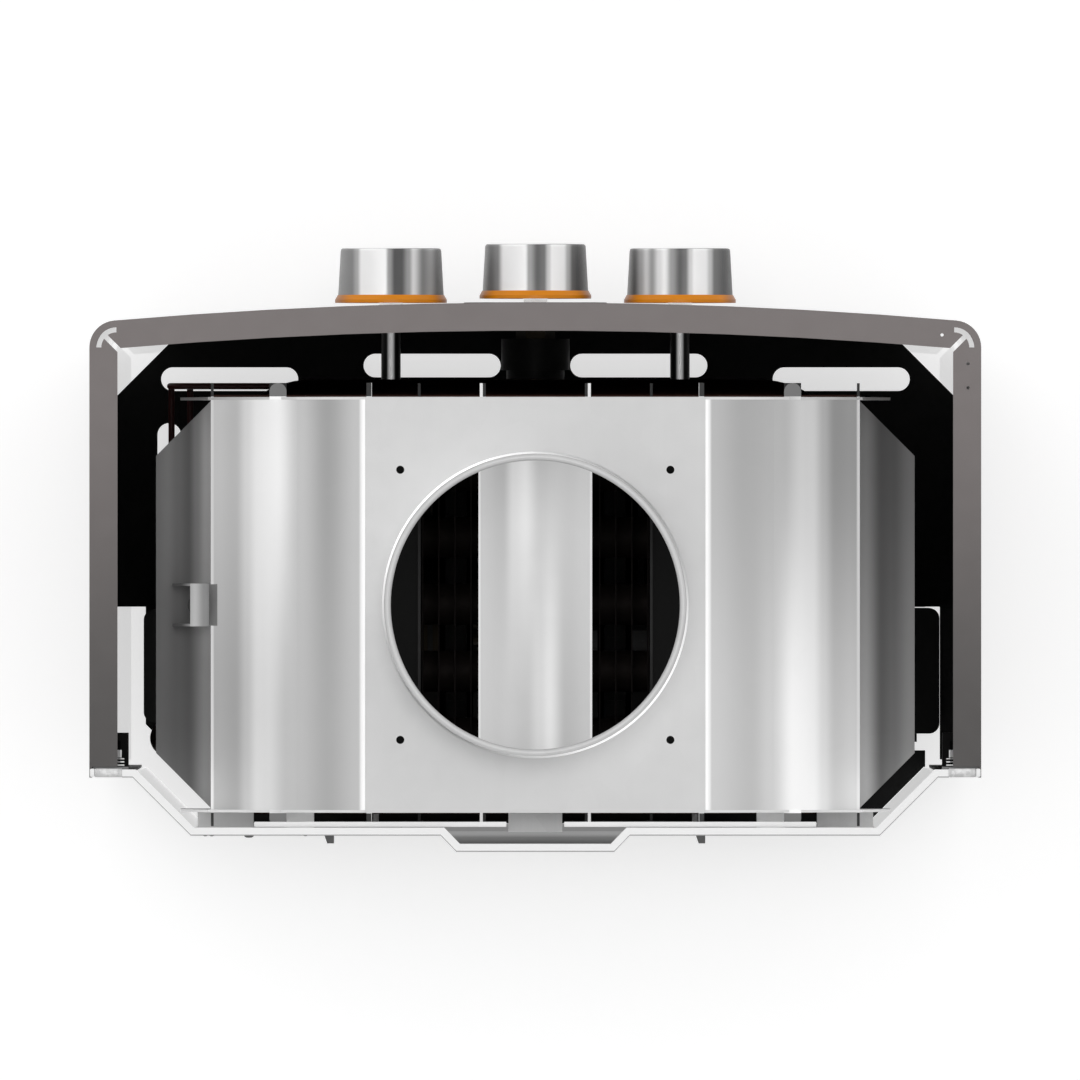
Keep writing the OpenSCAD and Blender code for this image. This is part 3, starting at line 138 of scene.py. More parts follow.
class Shader:
    """The node tree of a material or world under construction."""

    def __init__(self, owner: Owner) -> None:
        """Empties the tree of a new material or world."""
        owner.use_nodes = True
        self.owner = owner
        self.tree = owner.node_tree
        self.tree.nodes.clear()
        self._spot: Socket | None = None
        self._axes: dict[Axis, Socket] = {}

    def node(self, kind: str, settings: dict | None = None,
             inputs: dict | None = None, output: int | str = 0) -> Socket:
        """Adds a node.

        Args:
            kind: Its type.
            settings: Its own settings, and a ramp's list of stops as "stops".
            inputs: A value or a link for each of its sockets, by name or number.
            output: The output to return.

        Returns:
            The output.
        """
        made = self.tree.nodes.new(kind)
        for key, value in (settings or {}).items():
            if key == "stops":
                self._set_stops(made.color_ramp, value)
            else:
                setattr(made, key, value)
        for key, value in (inputs or {}).items():
            if isinstance(value, Socket):
                self.tree.links.new(value.output, made.inputs[key])
            elif isinstance(value, tuple) and len(value) == 3 and made.inputs[key].type == "RGBA":
                made.inputs[key].default_value = (*value, 1)
            else:
                made.inputs[key].default_value = value
        return Socket(self, made.outputs[output] if made.outputs else None)

    @staticmethod
    def _set_stops(ramp: bpy.types.ColorRamp, stops: Sequence[Stop]) -> None:
        """Gives a ramp its stops.

        Args:
            ramp: The ramp, as Blender makes it with two stops.
            stops: The places and colours.
        """
        ramp.interpolation = "EASE"
        for place, _ in stops[2:]:
            ramp.elements.new(place)
        for element, (place, colour) in zip(ramp.elements, sorted(stops)):
            element.position = place
            element.color = (*colour, 1)

    @property
    def spot(self) -> Socket:
        """The shaded point in the object's frame."""
        if self._spot is None:
            self._spot = self.node("ShaderNodeTexCoord", output="Object")
        return self._spot

    def along(self, axis: Axis) -> Socket:
        """The shaded point's coordinate along an axis."""
        if not self._axes:
            parts = self.node("ShaderNodeSeparateXYZ", inputs={0: self.spot}).output.node
            self._axes = {a: Socket(self, parts.outputs[a.value]) for a in Axis}
        return self._axes[axis]

    @property
    def x(self) -> Socket:
        """The shaded point's X."""
        return self.along(Axis.X)

    @property
    def y(self) -> Socket:
        """The shaded point's Y."""
        return self.along(Axis.Y)

    @property
    def z(self) -> Socket:
        """The shaded point's Z."""
        return self.along(Axis.Z)

    @property
    def side(self) -> Socket:
        """The shaded point's distance from the heater's middle plane."""
        return abs(self.x)

    def noise(self, scale: float, detail: float = 2.0, stretch: Point = (1, 1, 1)) -> Socket:
        """A cloudy value about 0.5.

        Args:
            scale: Lumps per metre.
            detail: How many finer layers lie on it.
            stretch: How much denser the lumps lie along each axis.

        Returns:
            The value.
        """
        place = self.spot if stretch == (1, 1, 1) else self.node(
            "ShaderNodeMapping", inputs={"Vector": self.spot, "Scale": stretch})
        return self.node("ShaderNodeTexNoise", inputs={"Vector": place, "Scale": scale, "Detail": detail})

    def mix(self, share: Value, first: Value, second: Value, blend: str = "MIX") -> Socket:
        """The first colour where the share is 0 and the second where it is 1."""
        return self.node("ShaderNodeMix", {"data_type": "RGBA", "blend_type": blend},
                         {0: share, 6: first, 7: second}, output=2)

    def light(self, share: Value, colour: Value) -> Socket:
        """A colour of light where the share is 1, and none where it is 0."""
        return self.mix(share, BLACK, colour)

    def scaled(self, colour: Value, factor: Value) -> Socket:
        """A colour times a factor."""
        grey_factor = self.node("ShaderNodeCombineColor", inputs={i: factor for i in range(3)})
        return self.mix(1.0, colour, grey_factor, "MULTIPLY")

    def ramp(self, value: Socket, bands: Iterable[Span]) -> Socket:
        """A grey that follows a value of 0 to 1 softly through a few places and display greys."""
        stops = [(place, grey(level)) for place, level in bands]
        return self.node("ShaderNodeValToRGB", {"stops": stops}, {0: value})

    def between(self, value: Socket, low: float, high: float) -> Socket:
        """A value that rises smoothly from 0 at low to 1 at high."""
        return self.node("ShaderNodeMapRange", {"interpolation_type": "SMOOTHSTEP"},
                         {"Value": value, "From Min": low, "From Max": high})

    def rise(self, value: Socket, low: float, high: float) -> Socket:
        """A value that rises evenly from 0 at low to 1 at high."""
        return self.node("ShaderNodeMapRange", inputs={"Value": value, "From Min": low, "From Max": high})

    def within(self, axis: Axis, low: float, high: float) -> Socket:
        """1 where the coordinate along an axis lies between low and high, and else 0."""
        place = self.along(axis)
        return (place > low) * (place < high)

    def bump(self, height: Value, depth: float) -> Socket:
        """A normal from a height of 0 to 1 that stands for so many metres."""
        return self.node("ShaderNodeBump", inputs={"Height": height, "Distance": depth, "Strength": 1.0})

    def finish(self, surface: Socket) -> Owner:
        """Links the surface and returns the material or world."""
        kind = "World" if isinstance(self.owner, bpy.types.World) else "Material"
        self.node(f"ShaderNodeOutput{kind}", inputs={"Surface": surface})
        return self.owner


@dataclass(frozen=True)
class Look:
    """A surface with a name and a colour, whose material is made once."""

    name: str
    colour: Colour

    def surface(self, shader: Shader) -> Socket:
        """The material's surface."""
        raise NotImplementedError

    def material(self) -> bpy.types.Material:
        """Makes the material, or returns the one already made."""
        if self.name not in MADE:
            shader = Shader(bpy.data.materials.new(self.name))
            MADE[self.name] = shader.finish(self.surface(shader))
        return MADE[self.name]


@dataclass(frozen=True)
class Finish(Look):
    """A finish: one colour, slightly clouded, with a fine grain."""

    roughness: float
    metallic: float = 0.0
    clouding: float = 0.06
    cloud_scale: float = 60.0
    grain_scale: float = 2500.0
    grain_depth: float = 0.00002
    grain_stretch: Point = (1, 1, 1)
    coat: float = 0.0
    gloss: float = 0.5
    soiling: float = 0.0
    dull_scale: float = 2.3
    dull_swing: float = 0.12
    coat_roughness: float = 0.08
    smut_scale: float = 0.6
    smut_range: Span = (0.5, 0.72)
    smut_colour: Colour = grey(40)

    def tint(self, shader: Shader) -> Value:
        """The plain colour before its clouding."""
        return self.colour

    def glow(self, shader: Shader) -> Value:
        """The painted light that the surface gives off as emission, none on most finishes."""
        return BLACK

    def relief(self, shader: Shader) -> Socket:
        """The height of the surface's grain, from 0 to 1."""
        return shader.noise(self.grain_scale, 3.0, self.grain_stretch)

    def dull(self, shader: Shader) -> Socket:
        """The roughness, which varies a little."""
        patches = shader.noise(self.cloud_scale * self.dull_scale, 4.0)
        return self.roughness + self.dull_swing * (patches - 0.5)

    def surface(self, shader: Shader) -> Socket:
        """The tint, its clouds and its soiling under the grain."""
        cloud = shader.noise(self.cloud_scale, 5.0)
        colour = shader.scaled(self.tint(shader), 1 - self.clouding / 2 + self.clouding * cloud)
        if self.soiling:
            smut = shader.between(shader.noise(self.cloud_scale * self.smut_scale, 6.0), *self.smut_range)
            colour = shader.mix(smut * self.soiling, colour, self.smut_colour)
        return shader.node("ShaderNodeBsdfPrincipled", inputs={
            "Base Color": colour, "Metallic": self.metallic, "Roughness": self.dull(shader),
            "Coat Weight": self.coat, "Coat Roughness": self.coat_roughness,
            "Specular IOR Level": self.gloss, "Emission Color": self.glow(shader), "Emission Strength": 1.0,
            "Normal": shader.bump(self.relief(shader), self.grain_depth)})


@dataclass(frozen=True)
class SatinPaint(Finish):
    """The cover's metallic paint, with painted shade that darkens the upper flange towards the wall, and
    painted light and shade on the bottom flange and the front corners.
    """

    flake_scale: float = 4200.0
    flake_range: Span = (0.35, 0.75)
    flake_share: float = 0.05
    flake_colour: Colour = grey(205)
    top_flange_z: float = 0.0438
    # Painted shade that darkens the upper flange towards the wall, over this range of Y.
    top_flange_y: Span = (-0.190, -0.030)
    rear_shade_share: float = 0.85
    rear_shade_colour: Colour = srgb(66, 65, 64)
    # Painted shade and painted light on the bottom flange's upper face, and painted light given off on the
    # front corners' walls.
    low_flange_z: Span = (-0.4746, -0.4735)
    low_flange_shade: Colour = grey(5)
    low_flange_lit: Colour = grey(180)
    corner_y: float = -0.166
    corner_light: Colour = grey(205)
    corner_at: Span = (0.155, -0.1867)
    corner_radius: float = 0.0094
    corner_top_z: float = -0.1
    open_y: float = -0.0906

    def tint(self, shader: Shader) -> Value:
        """The outside's paint, and painted shade on the bottom flange's upper face, with painted light on
        the front corners and beside the opening.
        """
        inside = shader.mix(self._lit(shader), self.low_flange_shade, self.low_flange_lit)
        return shader.mix(self._flange(shader), self._outside(shader), inside)

    def glow(self, shader: Shader) -> Value:
        """Painted light: an emission that stands in for the light the floor throws on the bottom flange and
        on the wall of the front corners.
        """
        flange = self._flange(shader) * self._lit(shader)
        corner = (shader.side > self.corner_at[0]) * (shader.y < self.corner_at[1])
        wall = corner * self._enclosed(shader) * (shader.z < self.corner_top_z)
        return shader.light(flange.highest(wall), self.corner_light)

    def _enclosed(self, shader: Shader) -> Socket:
        """1 on and inside the inner face of the cover's walls, and 0 on their outer face."""
        across = (shader.side - self.corner_at[0]).highest(0.0)
        forward = (self.corner_at[1] - shader.y).highest(0.0)
        return (across * across + forward * forward) < self.corner_radius ** 2

    def _flange(self, shader: Shader) -> Socket:
        """1 on the upper face of the bottom flange, and else 0."""
        return shader.within(Axis.Z, *self.low_flange_z) * self._enclosed(shader)

    def _lit(self, shader: Shader) -> Socket:
        """1 on the front corners and beside the opening at the right rear, where light is painted, and else
        0.
        """
        beside = (shader.x > 0) * (shader.y > self.open_y)
        return beside.highest(shader.y < self.corner_y)

    def _outside(self, shader: Shader) -> Socket:
        """The paint with its flakes and the painted shade that darkens the upper flange towards the wall."""
        flakes = shader.between(shader.noise(self.flake_scale, 1.0), *self.flake_range)
        paint = shader.mix(self.flake_share * flakes, self.colour, self.flake_colour)
        towards_wall = shader.between(shader.y, *self.top_flange_y)
        on_flange = shader.z > self.top_flange_z
        return shader.mix(self.rear_shade_share * towards_wall * on_flange, paint, self.rear_shade_colour)


@dataclass(frozen=True)
class PanelCoat(Finish):
    """The back panel's white coating, with a thin dark line of painted shade along the top's rear edge,
    painted shade in the hanging recess and painted light on its inner face.
    """

    top_z: float = 0.04495
    line_w: float = 0.0004
    # Painted shade: a thin dark line along the top's rear edge.
    shade_line_share: float = 0.8
    line_shading_colour: Colour = grey(92)
    recess_x: Span = (0.0292, 0.035)
    recess_depth: float = 0.006
    recess_low_z: float = -0.047
    slope_x: Span = (0.1275, 0.149)
    slope_depth: float = 0.0215
    inner_gap: float = 0.0007
    inner_top: float = 0.043
    # Painted light given off by the inner face, and painted shade in the hanging recess.
    flat_light: Colour = grey(96)
    slope_light: Colour = grey(206)
    recess_half: float = 0.0362
    recess_shade: Colour = grey(140)
    recess_y: Span = (-0.0090, -0.0026)
    recess_light_bands: Bands = ((0, 116), (0.45, 137), (0.72, 92), (1, 60))

    def _inward(self, shader: Shader) -> Socket:
        """How far the point lies in front of the panel's rear face, counted along Y."""
        side = shader.side
        beside = shader.rise(side, *self.recess_x)
        below = 1 - shader.rise(shader.z, self.recess_low_z - self.recess_depth, self.recess_low_z)
        slope = self.slope_depth * shader.rise(side, *self.slope_x)
        return 0 - (shader.y + (self.recess_depth * beside.highest(below) + slope))

    def tint(self, shader: Shader) -> Value:
        """The coating, its line of painted shade, which follows the panel's rear face, and the painted shade
        in the recess.
        """
        line = self._inward(shader) < self.line_w
        on_top = shader.z > self.top_z
        recess = self._inside(shader) * self._in_recess(shader)
        coating = shader.mix(recess, self.colour, self.recess_shade)
        return shader.mix(self.shade_line_share * line * on_top, coating, self.line_shading_colour)

    def _inside(self, shader: Shader) -> Socket:
        """1 on the panel's inner face below its top edge, and else 0."""
        return (self._inward(shader) > self.inner_gap) * (shader.z < self.inner_top)

    def _in_recess(self, shader: Shader) -> Socket:
        """1 across the width of the hanging recess, and else 0."""
        return shader.side < self.recess_half

    def glow(self, shader: Shader) -> Value:
        """The light that reaches the panel's inner face in the photograph's studio."""
        # Painted light: the inner face gives off this light as emission.
        depth = shader.rise(shader.y, *self.recess_y)
        floor = shader.ramp(depth, self.recess_light_bands)
        flat = shader.mix(self._in_recess(shader), self.flat_light, floor)
        level = shader.mix(shader.side > self.slope_x[0], flat, self.slope_light)
        return shader.light(self._inside(shader), level)


@dataclass(frozen=True)
class MarkedFinish(Finish):
    """A finish with one part in a colour of its own, the part's real colour on some finishes and painted
    light on others, and with painted light that the part gives off.
    """

    mark_colour_or_painted_light: Colour = grey(240)
    mark_light: Colour = BLACK

    def mark(self, shader: Shader) -> Socket:
        """How much of the part lies at the point."""
        raise NotImplementedError

    def unmarked(self, shader: Shader) -> Value:
        """The colour of the rest."""
        return self.colour

    def tint(self, shader: Shader) -> Value:
        """The rest and the part."""
        return shader.mix(self.mark(shader), self.unmarked(shader), self.mark_colour_or_painted_light)

    def glow(self, shader: Shader) -> Value:
        """The part's painted light, given off as emission."""
        return shader.light(self.mark(shader), self.mark_light)


@dataclass(frozen=True)
class ClipPlastic(MarkedFinish):
    """The clips' black plastic with the bright end and the coils of the spring that each one holds."""

    spring_x: float = 0.1531
    spring_y: Span = (-0.0377, -0.0349)
    coil_y: Span = (-0.0346, -0.0309)
    coil_pitch: float = 0.0012
    coil_gap: float = 0.3
    coil_inset: float = 0.001
    mark_colour_or_painted_light: Colour = grey(235)

    def mark(self, shader: Shader) -> Socket:
        """1 on the spring's end and its coils, and else 0."""
        side = shader.side
        turns = (shader.y * (FULL_TURN / self.coil_pitch)).sine() > self.coil_gap
        near = side > self.spring_x - self.coil_inset
        coils = turns * shader.within(Axis.Y, *self.coil_y) * near
        end = (side > self.spring_x) * shader.within(Axis.Y, *self.spring_y)
        return end.highest(coils)


@dataclass(frozen=True)
class TurnedShaft(MarkedFinish):
    """A dark turned shaft with a painted highlight streak along its top and painted light on its end before
    the cover.

    The painted parts also give off the lamp's light as emission, which the cover's flange would keep from
    them.
    """

    centre_x: float = 0.0
    highlight_w: float = 0.0017
    highlight_core: float = 0.3
    cover_y: float = -0.2028
    mark_light: Colour = grey(132)

    def mark(self, shader: Shader) -> Socket:
        """How much of the painted highlight streak or the painted light on the end lies at the point."""
        off = abs(shader.x - self.centre_x)
        streak = shader.between(off, self.highlight_w, self.highlight_core * self.highlight_w)
        return streak.highest(shader.y < self.cover_y)


@dataclass(frozen=True)
class ZincSheet(Finish):
    """Zinc-coated sheet: a faint spangle, the mill's fine lines, and painted light and shade on any lock
    tabs.
    """

    spangle_scale: float = 110.0
    spangle: float = 0.05
    lines: float = 0.05
    lines_scale: float = 900.0
    lines_stretch: Point = (1, 0.02, 1)
    mid_y: float = -0.0914
    plate_reach: float = 0.0772
    # Painted light and shade on the lock tabs, along one edge of them and round their rounded corners.
    tab_colour: Colour = grey(44)
    tab_edge: Colour = grey(190)
    tab_edge_x: float = 0.0
    round_x: float = 0.0
    round_radius: float = 0.00315
    round_reach: float = 0.07905
    round_width: float = 1.1
    round_shade: Colour = grey(112)
    round_gap_shadow: Colour = grey(6)

    def tabbed(self, shader: Shader, colour: Value) -> Value:
        """The colour, with painted light and shade on the lock tabs that pass through the hood's plates: one
        tone on each tab, another along one edge, and painted shade and shadow round the rounded corners
        where there are any.

        Args:
            shader: The material under construction.
            colour: The sheet's colour between the plates.

        Returns:
            The colour with the tabs' painted light and shade.
        """
        reach = abs(shader.y - self.mid_y)
        side = shader.side
        tab = shader.mix(side < self.tab_edge_x, self.tab_colour, self.tab_edge)
        if self.round_x:
            across = side - self.round_x
            out = reach - self.round_reach
            corner = (out > 0) * ((across * across + out * out) > self.round_radius ** 2)
            near = abs(across) < self.round_width * self.round_radius
            tab = shader.mix(near, tab, shader.mix(corner, self.round_shade, self.round_gap_shadow))
        return shader.mix(reach > self.plate_reach, colour, tab)

    def base(self, shader: Shader) -> Value:
        """The colour that the spangle lies on."""
        return self.colour

    def tint(self, shader: Shader) -> Value:
        """The sheet's colour with spangle and lines."""
        cells = shader.node("ShaderNodeTexVoronoi", {"feature": "F1"},
                            {"Vector": shader.spot, "Scale": self.spangle_scale}, output="Color")
        tone = shader.node("ShaderNodeSeparateColor", inputs={0: cells})
        lines = shader.noise(self.lines_scale, 2.0, self.lines_stretch)
        level = 1 + self.spangle * (tone - 0.5) + self.lines * (lines - 0.5)
        return self.tabbed(shader, shader.scaled(self.base(shader), level))


@dataclass(frozen=True)
class BracketZinc(ZincSheet):
    """The brackets' zinc, with painted light on the small pair and in the middle."""

    middle_x: float = 0.0105
    # Painted light on the middle bracket and on the small pair.
    middle_light: Colour = grey(236)
    small_x: Span = (0.082, 0.0928)
    small_light: Colour = grey(255)

    def base(self, shader: Shader) -> Value:
        """The tone of each bracket, with its painted light."""
        side = shader.side
        small = (side > self.small_x[0]) * (side < self.small_x[1])
        large = shader.mix(side < self.middle_x, self.colour, self.middle_light)
        return shader.mix(small, large, self.small_light)


@dataclass(frozen=True)
class BandedSheet(ZincSheet):
    """Bright sheet whose bowed surface carries painted reflections: soft light and dark bands across it."""

    # Painted reflections: the bands, and the share of them that is given off as emission.
    bands: Bands = ((0, 200), (1, 200))
    far_bands: Bands = ()
    far_from: Span = (-0.150, -0.045)
    thrown: float = 0.0

    def _ramp(self, shader: Shader, bands: Bands) -> Socket:
        """The painted reflection across the sheet, from each stop's X in millimetres and display grey."""
        places = [place for place, _ in bands]
        low, high = min(places) * MM, max(places) * MM
        share = (shader.x - low) / (high - low)
        return shader.ramp(share, [((place * MM - low) / (high - low), level) for place, level in bands])

    def base(self, shader: Shader) -> Value:
        """The painted reflection bands, which change slowly from the front to the wall."""
        near = self._ramp(shader, self.bands)
        if not self.far_bands:
            return near
        far = self._ramp(shader, self.far_bands)
        return shader.mix(shader.between(shader.y, *self.far_from), near, far)

    def tint(self, shader: Shader) -> Value:
        """The share of the painted reflection bands that the sheet's own colour makes."""
        return shader.scaled(super().tint(shader), 1 - self.thrown)

    def glow(self, shader: Shader) -> Value:
        """Painted light: the share of the reflection bands given off as emission, standing in for the light
        that the studio's panels throw on the sheet's steep slopes.
        """
        if not self.thrown:
            return BLACK
        return shader.scaled(self.tabbed(shader, self.base(shader)), self.thrown)


@dataclass(frozen=True)
class CollarSheet(ZincSheet):
    """The flue collar's sheet, whose rolled lip carries a painted highlight: a thin bright line on two
    sides.
    """

    line_radius: float = 0.0559
    # Painted highlight on the lip, in colour and as emission.
    line_shading_colour: Colour = grey(255)
    line_light: Colour = grey(150)

    def _highlight_line(self, shader: Shader) -> Socket:
        """How much of the painted highlight line lies at the point."""
        across = shader.x
        forward = shader.y - self.mid_y
        outer = (across * across + forward * forward) > self.line_radius ** 2
        return outer * (0.5 - 0.5 * (2 * forward.angle_from(across)).sine())

    def base(self, shader: Shader) -> Value:
        """The sheet and its painted highlight line."""
        return shader.mix(self._highlight_line(shader), self.colour, self.line_shading_colour)

    def glow(self, shader: Shader) -> Value:
        """The highlight line's painted light, given off as emission."""
        return shader.light(self._highlight_line(shader), self.line_light)


@dataclass(frozen=True)
class TurnedCap(Finish):
    """A knob's turned metal cap: painted reflections as soft bands along its side, and a painted sheen of
    rays on its face.
    """

    centre_x: float = 0.0
    centre_z: float = -0.405
    radius: float = 0.0201
    face_y: float = -0.2262
    # Painted reflections: the side's bands, and the rays and tones of the face's sheen.
    bands: Bands = ((-1, 120), (1, 120))
    rays: float = 2.0
    rays_turn: float = 0.7
    rays_share: float = 0.8
    mottle_scale: float = 14.0
    face_sheen_bands: Bands = ((0, 150), (0.5, 186), (1, 232))
    ring_density: float = 9.0e7
    side_density: float = 21000.0

    def tint(self, shader: Shader) -> Value:
        """The side's painted reflection bands and the face's painted sheen of rays."""
        across = shader.x - self.centre_x
        side = shader.ramp(0.5 + across / (2 * self.radius),
                           [((place + 1) / 2, level) for place, level in self.bands])
        turn = across.angle_from(shader.z - self.centre_z)
        rays = (turn * self.rays + self.rays_turn).sine() * 0.5 + 0.5
        mottle = shader.noise(self.mottle_scale, 3.0)
        mottled = self.rays_share * rays + (1 - self.rays_share) * mottle
        face = shader.ramp(mottled, self.face_sheen_bands)
        return shader.mix(shader.y < self.face_y, side, face)

    def relief(self, shader: Shader) -> Socket:
        """The tool's fine rings."""
        across = shader.x - self.centre_x
        up = shader.z - self.centre_z
        reach = across * across + up * up
        return 0.5 + 0.5 * (reach * self.ring_density + shader.y * self.side_density).sine()


@dataclass(frozen=True)
class AmberRing(MarkedFinish):
    """The knobs' clear amber rings, with painted shade darkening the amber towards their rim, and painted
    light that makes the boss behind them pale and glowing.
    """

    pitch: float = 0.055
    radius: float = 0.0205
    # Painted shade towards the rim; the boss's painted light is in the mark's colour and light.
    rim_shade: Colour = srgb(150, 88, 20)
    rim_shade_share: float = 0.8
    rim_shade_from: float = 0.72
    centre_z: float = -0.405
    boss: float = 0.005
    mark_colour_or_painted_light: Colour = grey(235)
    mark_light: Colour = grey(170)

    def _off(self, shader: Shader) -> Socket:
        """The distance along X from the middle of the point's own knob."""
        side = shader.side
        return abs(side - self.pitch * (side > self.pitch / 2))

    def mark(self, shader: Shader) -> Socket:
        """1 on the boss behind the ring, where light is painted, and else 0."""
        return (self._off(shader) < self.boss) * (abs(shader.z - self.centre_z) < self.boss)

    def unmarked(self, shader: Shader) -> Value:
        """The amber and the painted shade towards its ends."""
        ends = shader.between(self._off(shader), self.rim_shade_from * self.radius, self.radius)
        return shader.mix(self.rim_shade_share * ends, self.colour, self.rim_shade)


@dataclass(frozen=True)
class HeatTinted(Finish):
    """Copper or steel tinted in patches below a height: a flame's heat tint on the burner, fins and tubes,
    and painted shade lower in the casing on the exchanger's shell, coil and pipe.
    """

    hot_z: float = -0.27
    cool_z: float = -0.1
    patch_scale: float = 38.0
    patch_range: Span = (0.38, 0.66)
    heat_tint_and_shade: Colour = srgb(96, 60, 52)
    share: float = 0.7

    def tint(self, shader: Shader) -> Value:
        """The metal with its patches of heat tint and painted shade."""
        patches = shader.between(shader.noise(self.patch_scale, 4.0), *self.patch_range)
        height = 1 - shader.between(shader.z, self.hot_z, self.cool_z)
        return shader.mix(self.share * patches * height, self.colour, self.heat_tint_and_shade)


@dataclass(frozen=True)
class WrappedCell(Finish):
    """A dry cell's film with a coloured shoulder."""

    shoulder_z: float = -0.418
    shoulder_colour: Colour = srgb(176, 128, 58)

    def tint(self, shader: Shader) -> Value:
        """The film's two colours."""
        return shader.mix(shader.z > self.shoulder_z, self.colour, self.shoulder_colour)


@dataclass(frozen=True)
class SmokedGlass(Look):
    """The sight window's heat-proof glass, clear with a faint ripple."""

    smoke: Colour = grey(60)
    smoke_share: float = 0.2
    roughness: Span = (0.04, 0.06)
    clearness: float = 0.85
    refraction: float = 1.47
    ripple_depth: float = 0.00003

    def surface(self, shader: Shader) -> Socket:
        """The smoked glass."""
        least, swing = self.roughness
        smoke = self.smoke_share * shader.noise(90.0, 3.0)
        return shader.node("ShaderNodeBsdfPrincipled", inputs={
            "Base Color": shader.mix(smoke, self.colour, self.smoke),
            "Roughness": least + swing * shader.noise(300.0, 2.0),
            "Transmission Weight": self.clearness, "IOR": self.refraction,
            "Normal": shader.bump(shader.noise(120.0), self.ripple_depth)})


COVER_PAINT = SatinPaint("cover_paint", srgb(113, 107, 106), 0.45, 0.15, clouding=0.03, grain_scale=1400,
                         gloss=0.25)
PANEL_WHITE = PanelCoat("panel_white", grey(240), 0.38, clouding=0.03, grain_scale=700,
                        grain_depth=0.00004, coat=0.1)
SPACER_GREY = Finish("spacer_coat", grey(92), 0.5, 0.1, clouding=0.1)
PLATE_BLACK = Finish("plate_black", grey(4), 0.8, clouding=0.3, grain_scale=1800, grain_depth=0.00003)
BLACK_PLASTIC = Finish("black_plastic", grey(10), 0.6, clouding=0.2, grain_scale=3500, grain_depth=0.00003)
CLIP_PLASTIC = ClipPlastic("clip_plastic", grey(4), 0.6, clouding=0.2, gloss=0.04)
# Painted shade: the battery box's grey plastic is painted near black, as it looks in the shade beside the
# exchanger.
SHADED_GREY_PLASTIC = Finish("grey_plastic", grey(12), 0.55, clouding=0.1, grain_scale=3500, grain_depth=0.00003,
                      gloss=0.2)
RUBBER = Finish("rubber", srgb(60, 12, 10), 0.55, clouding=0.12, grain_scale=2600)
CERAMIC = Finish("ceramic", srgb(228, 222, 206), 0.25, clouding=0.08, grain_scale=1800,
                 grain_depth=0.00001, coat=0.4, soiling=0.25)
BRASS = Finish("brass", srgb(196, 158, 88), 0.34, 0.9, clouding=0.16, cloud_scale=110, soiling=0.12)
# Painted shade: this brass is painted near black, as it looks in the shade inside the casing.
SHADED_BRASS = Finish("shaded_valve_brass", srgb(36, 30, 20), 0.45, 0.8, clouding=0.2, cloud_scale=110)
STEEL = Finish("bright_steel", grey(120), 0.3, 0.9, clouding=0.1, grain_stretch=(0.05, 1, 1))
# Painted shade: the valve housings are painted near black, as they look in the shade behind the knobs.
SHADED_ALUMINIUM = Finish("cast_aluminium", grey(20), 0.52, 0.5, clouding=0.14, cloud_scale=150,
                   grain_scale=1200, grain_depth=0.00008)
BURNER_STEEL = HeatTinted("burner_steel", grey(40), 0.45, 0.8, clouding=0.2, hot_z=-0.33, cool_z=-0.27,
                          heat_tint_and_shade=srgb(24, 20, 26), share=0.4, soiling=0.3)
# Painted shade: the exchanger's shell, coil and pipe are painted near black, darker still towards the
# bottom, where light does not reach.
SHADED_COPPER = HeatTinted("copper", srgb(40, 23, 17), 0.4, 0.9, clouding=0.2, cloud_scale=45,
                    hot_z=-0.2, cool_z=0.0, heat_tint_and_shade=grey(6), share=0.9)
# Painted shade: the fins and tubes are painted near black, as they look far down in the flue.
SHADED_FIN_COPPER = HeatTinted("shaded_fin_copper", srgb(16, 11, 10), 0.6, 0.2, clouding=0.3, gloss=0.1)
SHADED_TUBE_COPPER = HeatTinted("shaded_tube_copper", srgb(34, 29, 27), 0.6, 0.2, clouding=0.3, gloss=0.1)
HEM_STEEL = ZincSheet("hem_steel", grey(186), 0.4, 0.4, spangle_scale=900.0, spangle=0.3, plate_reach=1.0)
HEM_WHITE = Finish("hem_white", grey(246), 0.5, clouding=0.02)
RIVET_STEEL = Finish("rivet_steel", grey(84), 0.4, 0.7, clouding=0.1)
TOP_SHEET = ZincSheet("hood_top_sheet", grey(205), 0.5, 0.2, clouding=0.01, gloss=0.25, spangle=0.015,
                      lines=0.01, tab_edge_x=0.0607)
PLATE_ZINC = ZincSheet("hood_plate_zinc", grey(226), 0.45, 0.3, clouding=0.03, plate_reach=0.09)
ZINC = BracketZinc("galvanised", grey(205), 0.45, 0.2, clouding=0.04, plate_reach=1.0)
RAIL_ZINC = ZincSheet("rail_zinc", grey(100), 0.5, 0.4, clouding=0.08, plate_reach=1.0)
COLLAR_SHEET = CollarSheet("collar_sheet", grey(200), 0.45, 0.2, clouding=0.02, gloss=0.25, plate_reach=1.0)
WINDOW_GLASS = SmokedGlass("window_glass", srgb(120, 104, 84))
DIAPHRAGM_RUBBER = Finish("diaphragm_rubber", grey(20), 0.7, grain_depth=0.00003)
BATTERY_FILM = WrappedCell("battery_film", grey(34), 0.35, 0.2, coat=0.4)
AMBER = AmberRing("amber_plastic", srgb(228, 138, 6), 0.35, clouding=0.16, cloud_scale=120, gloss=0.3)


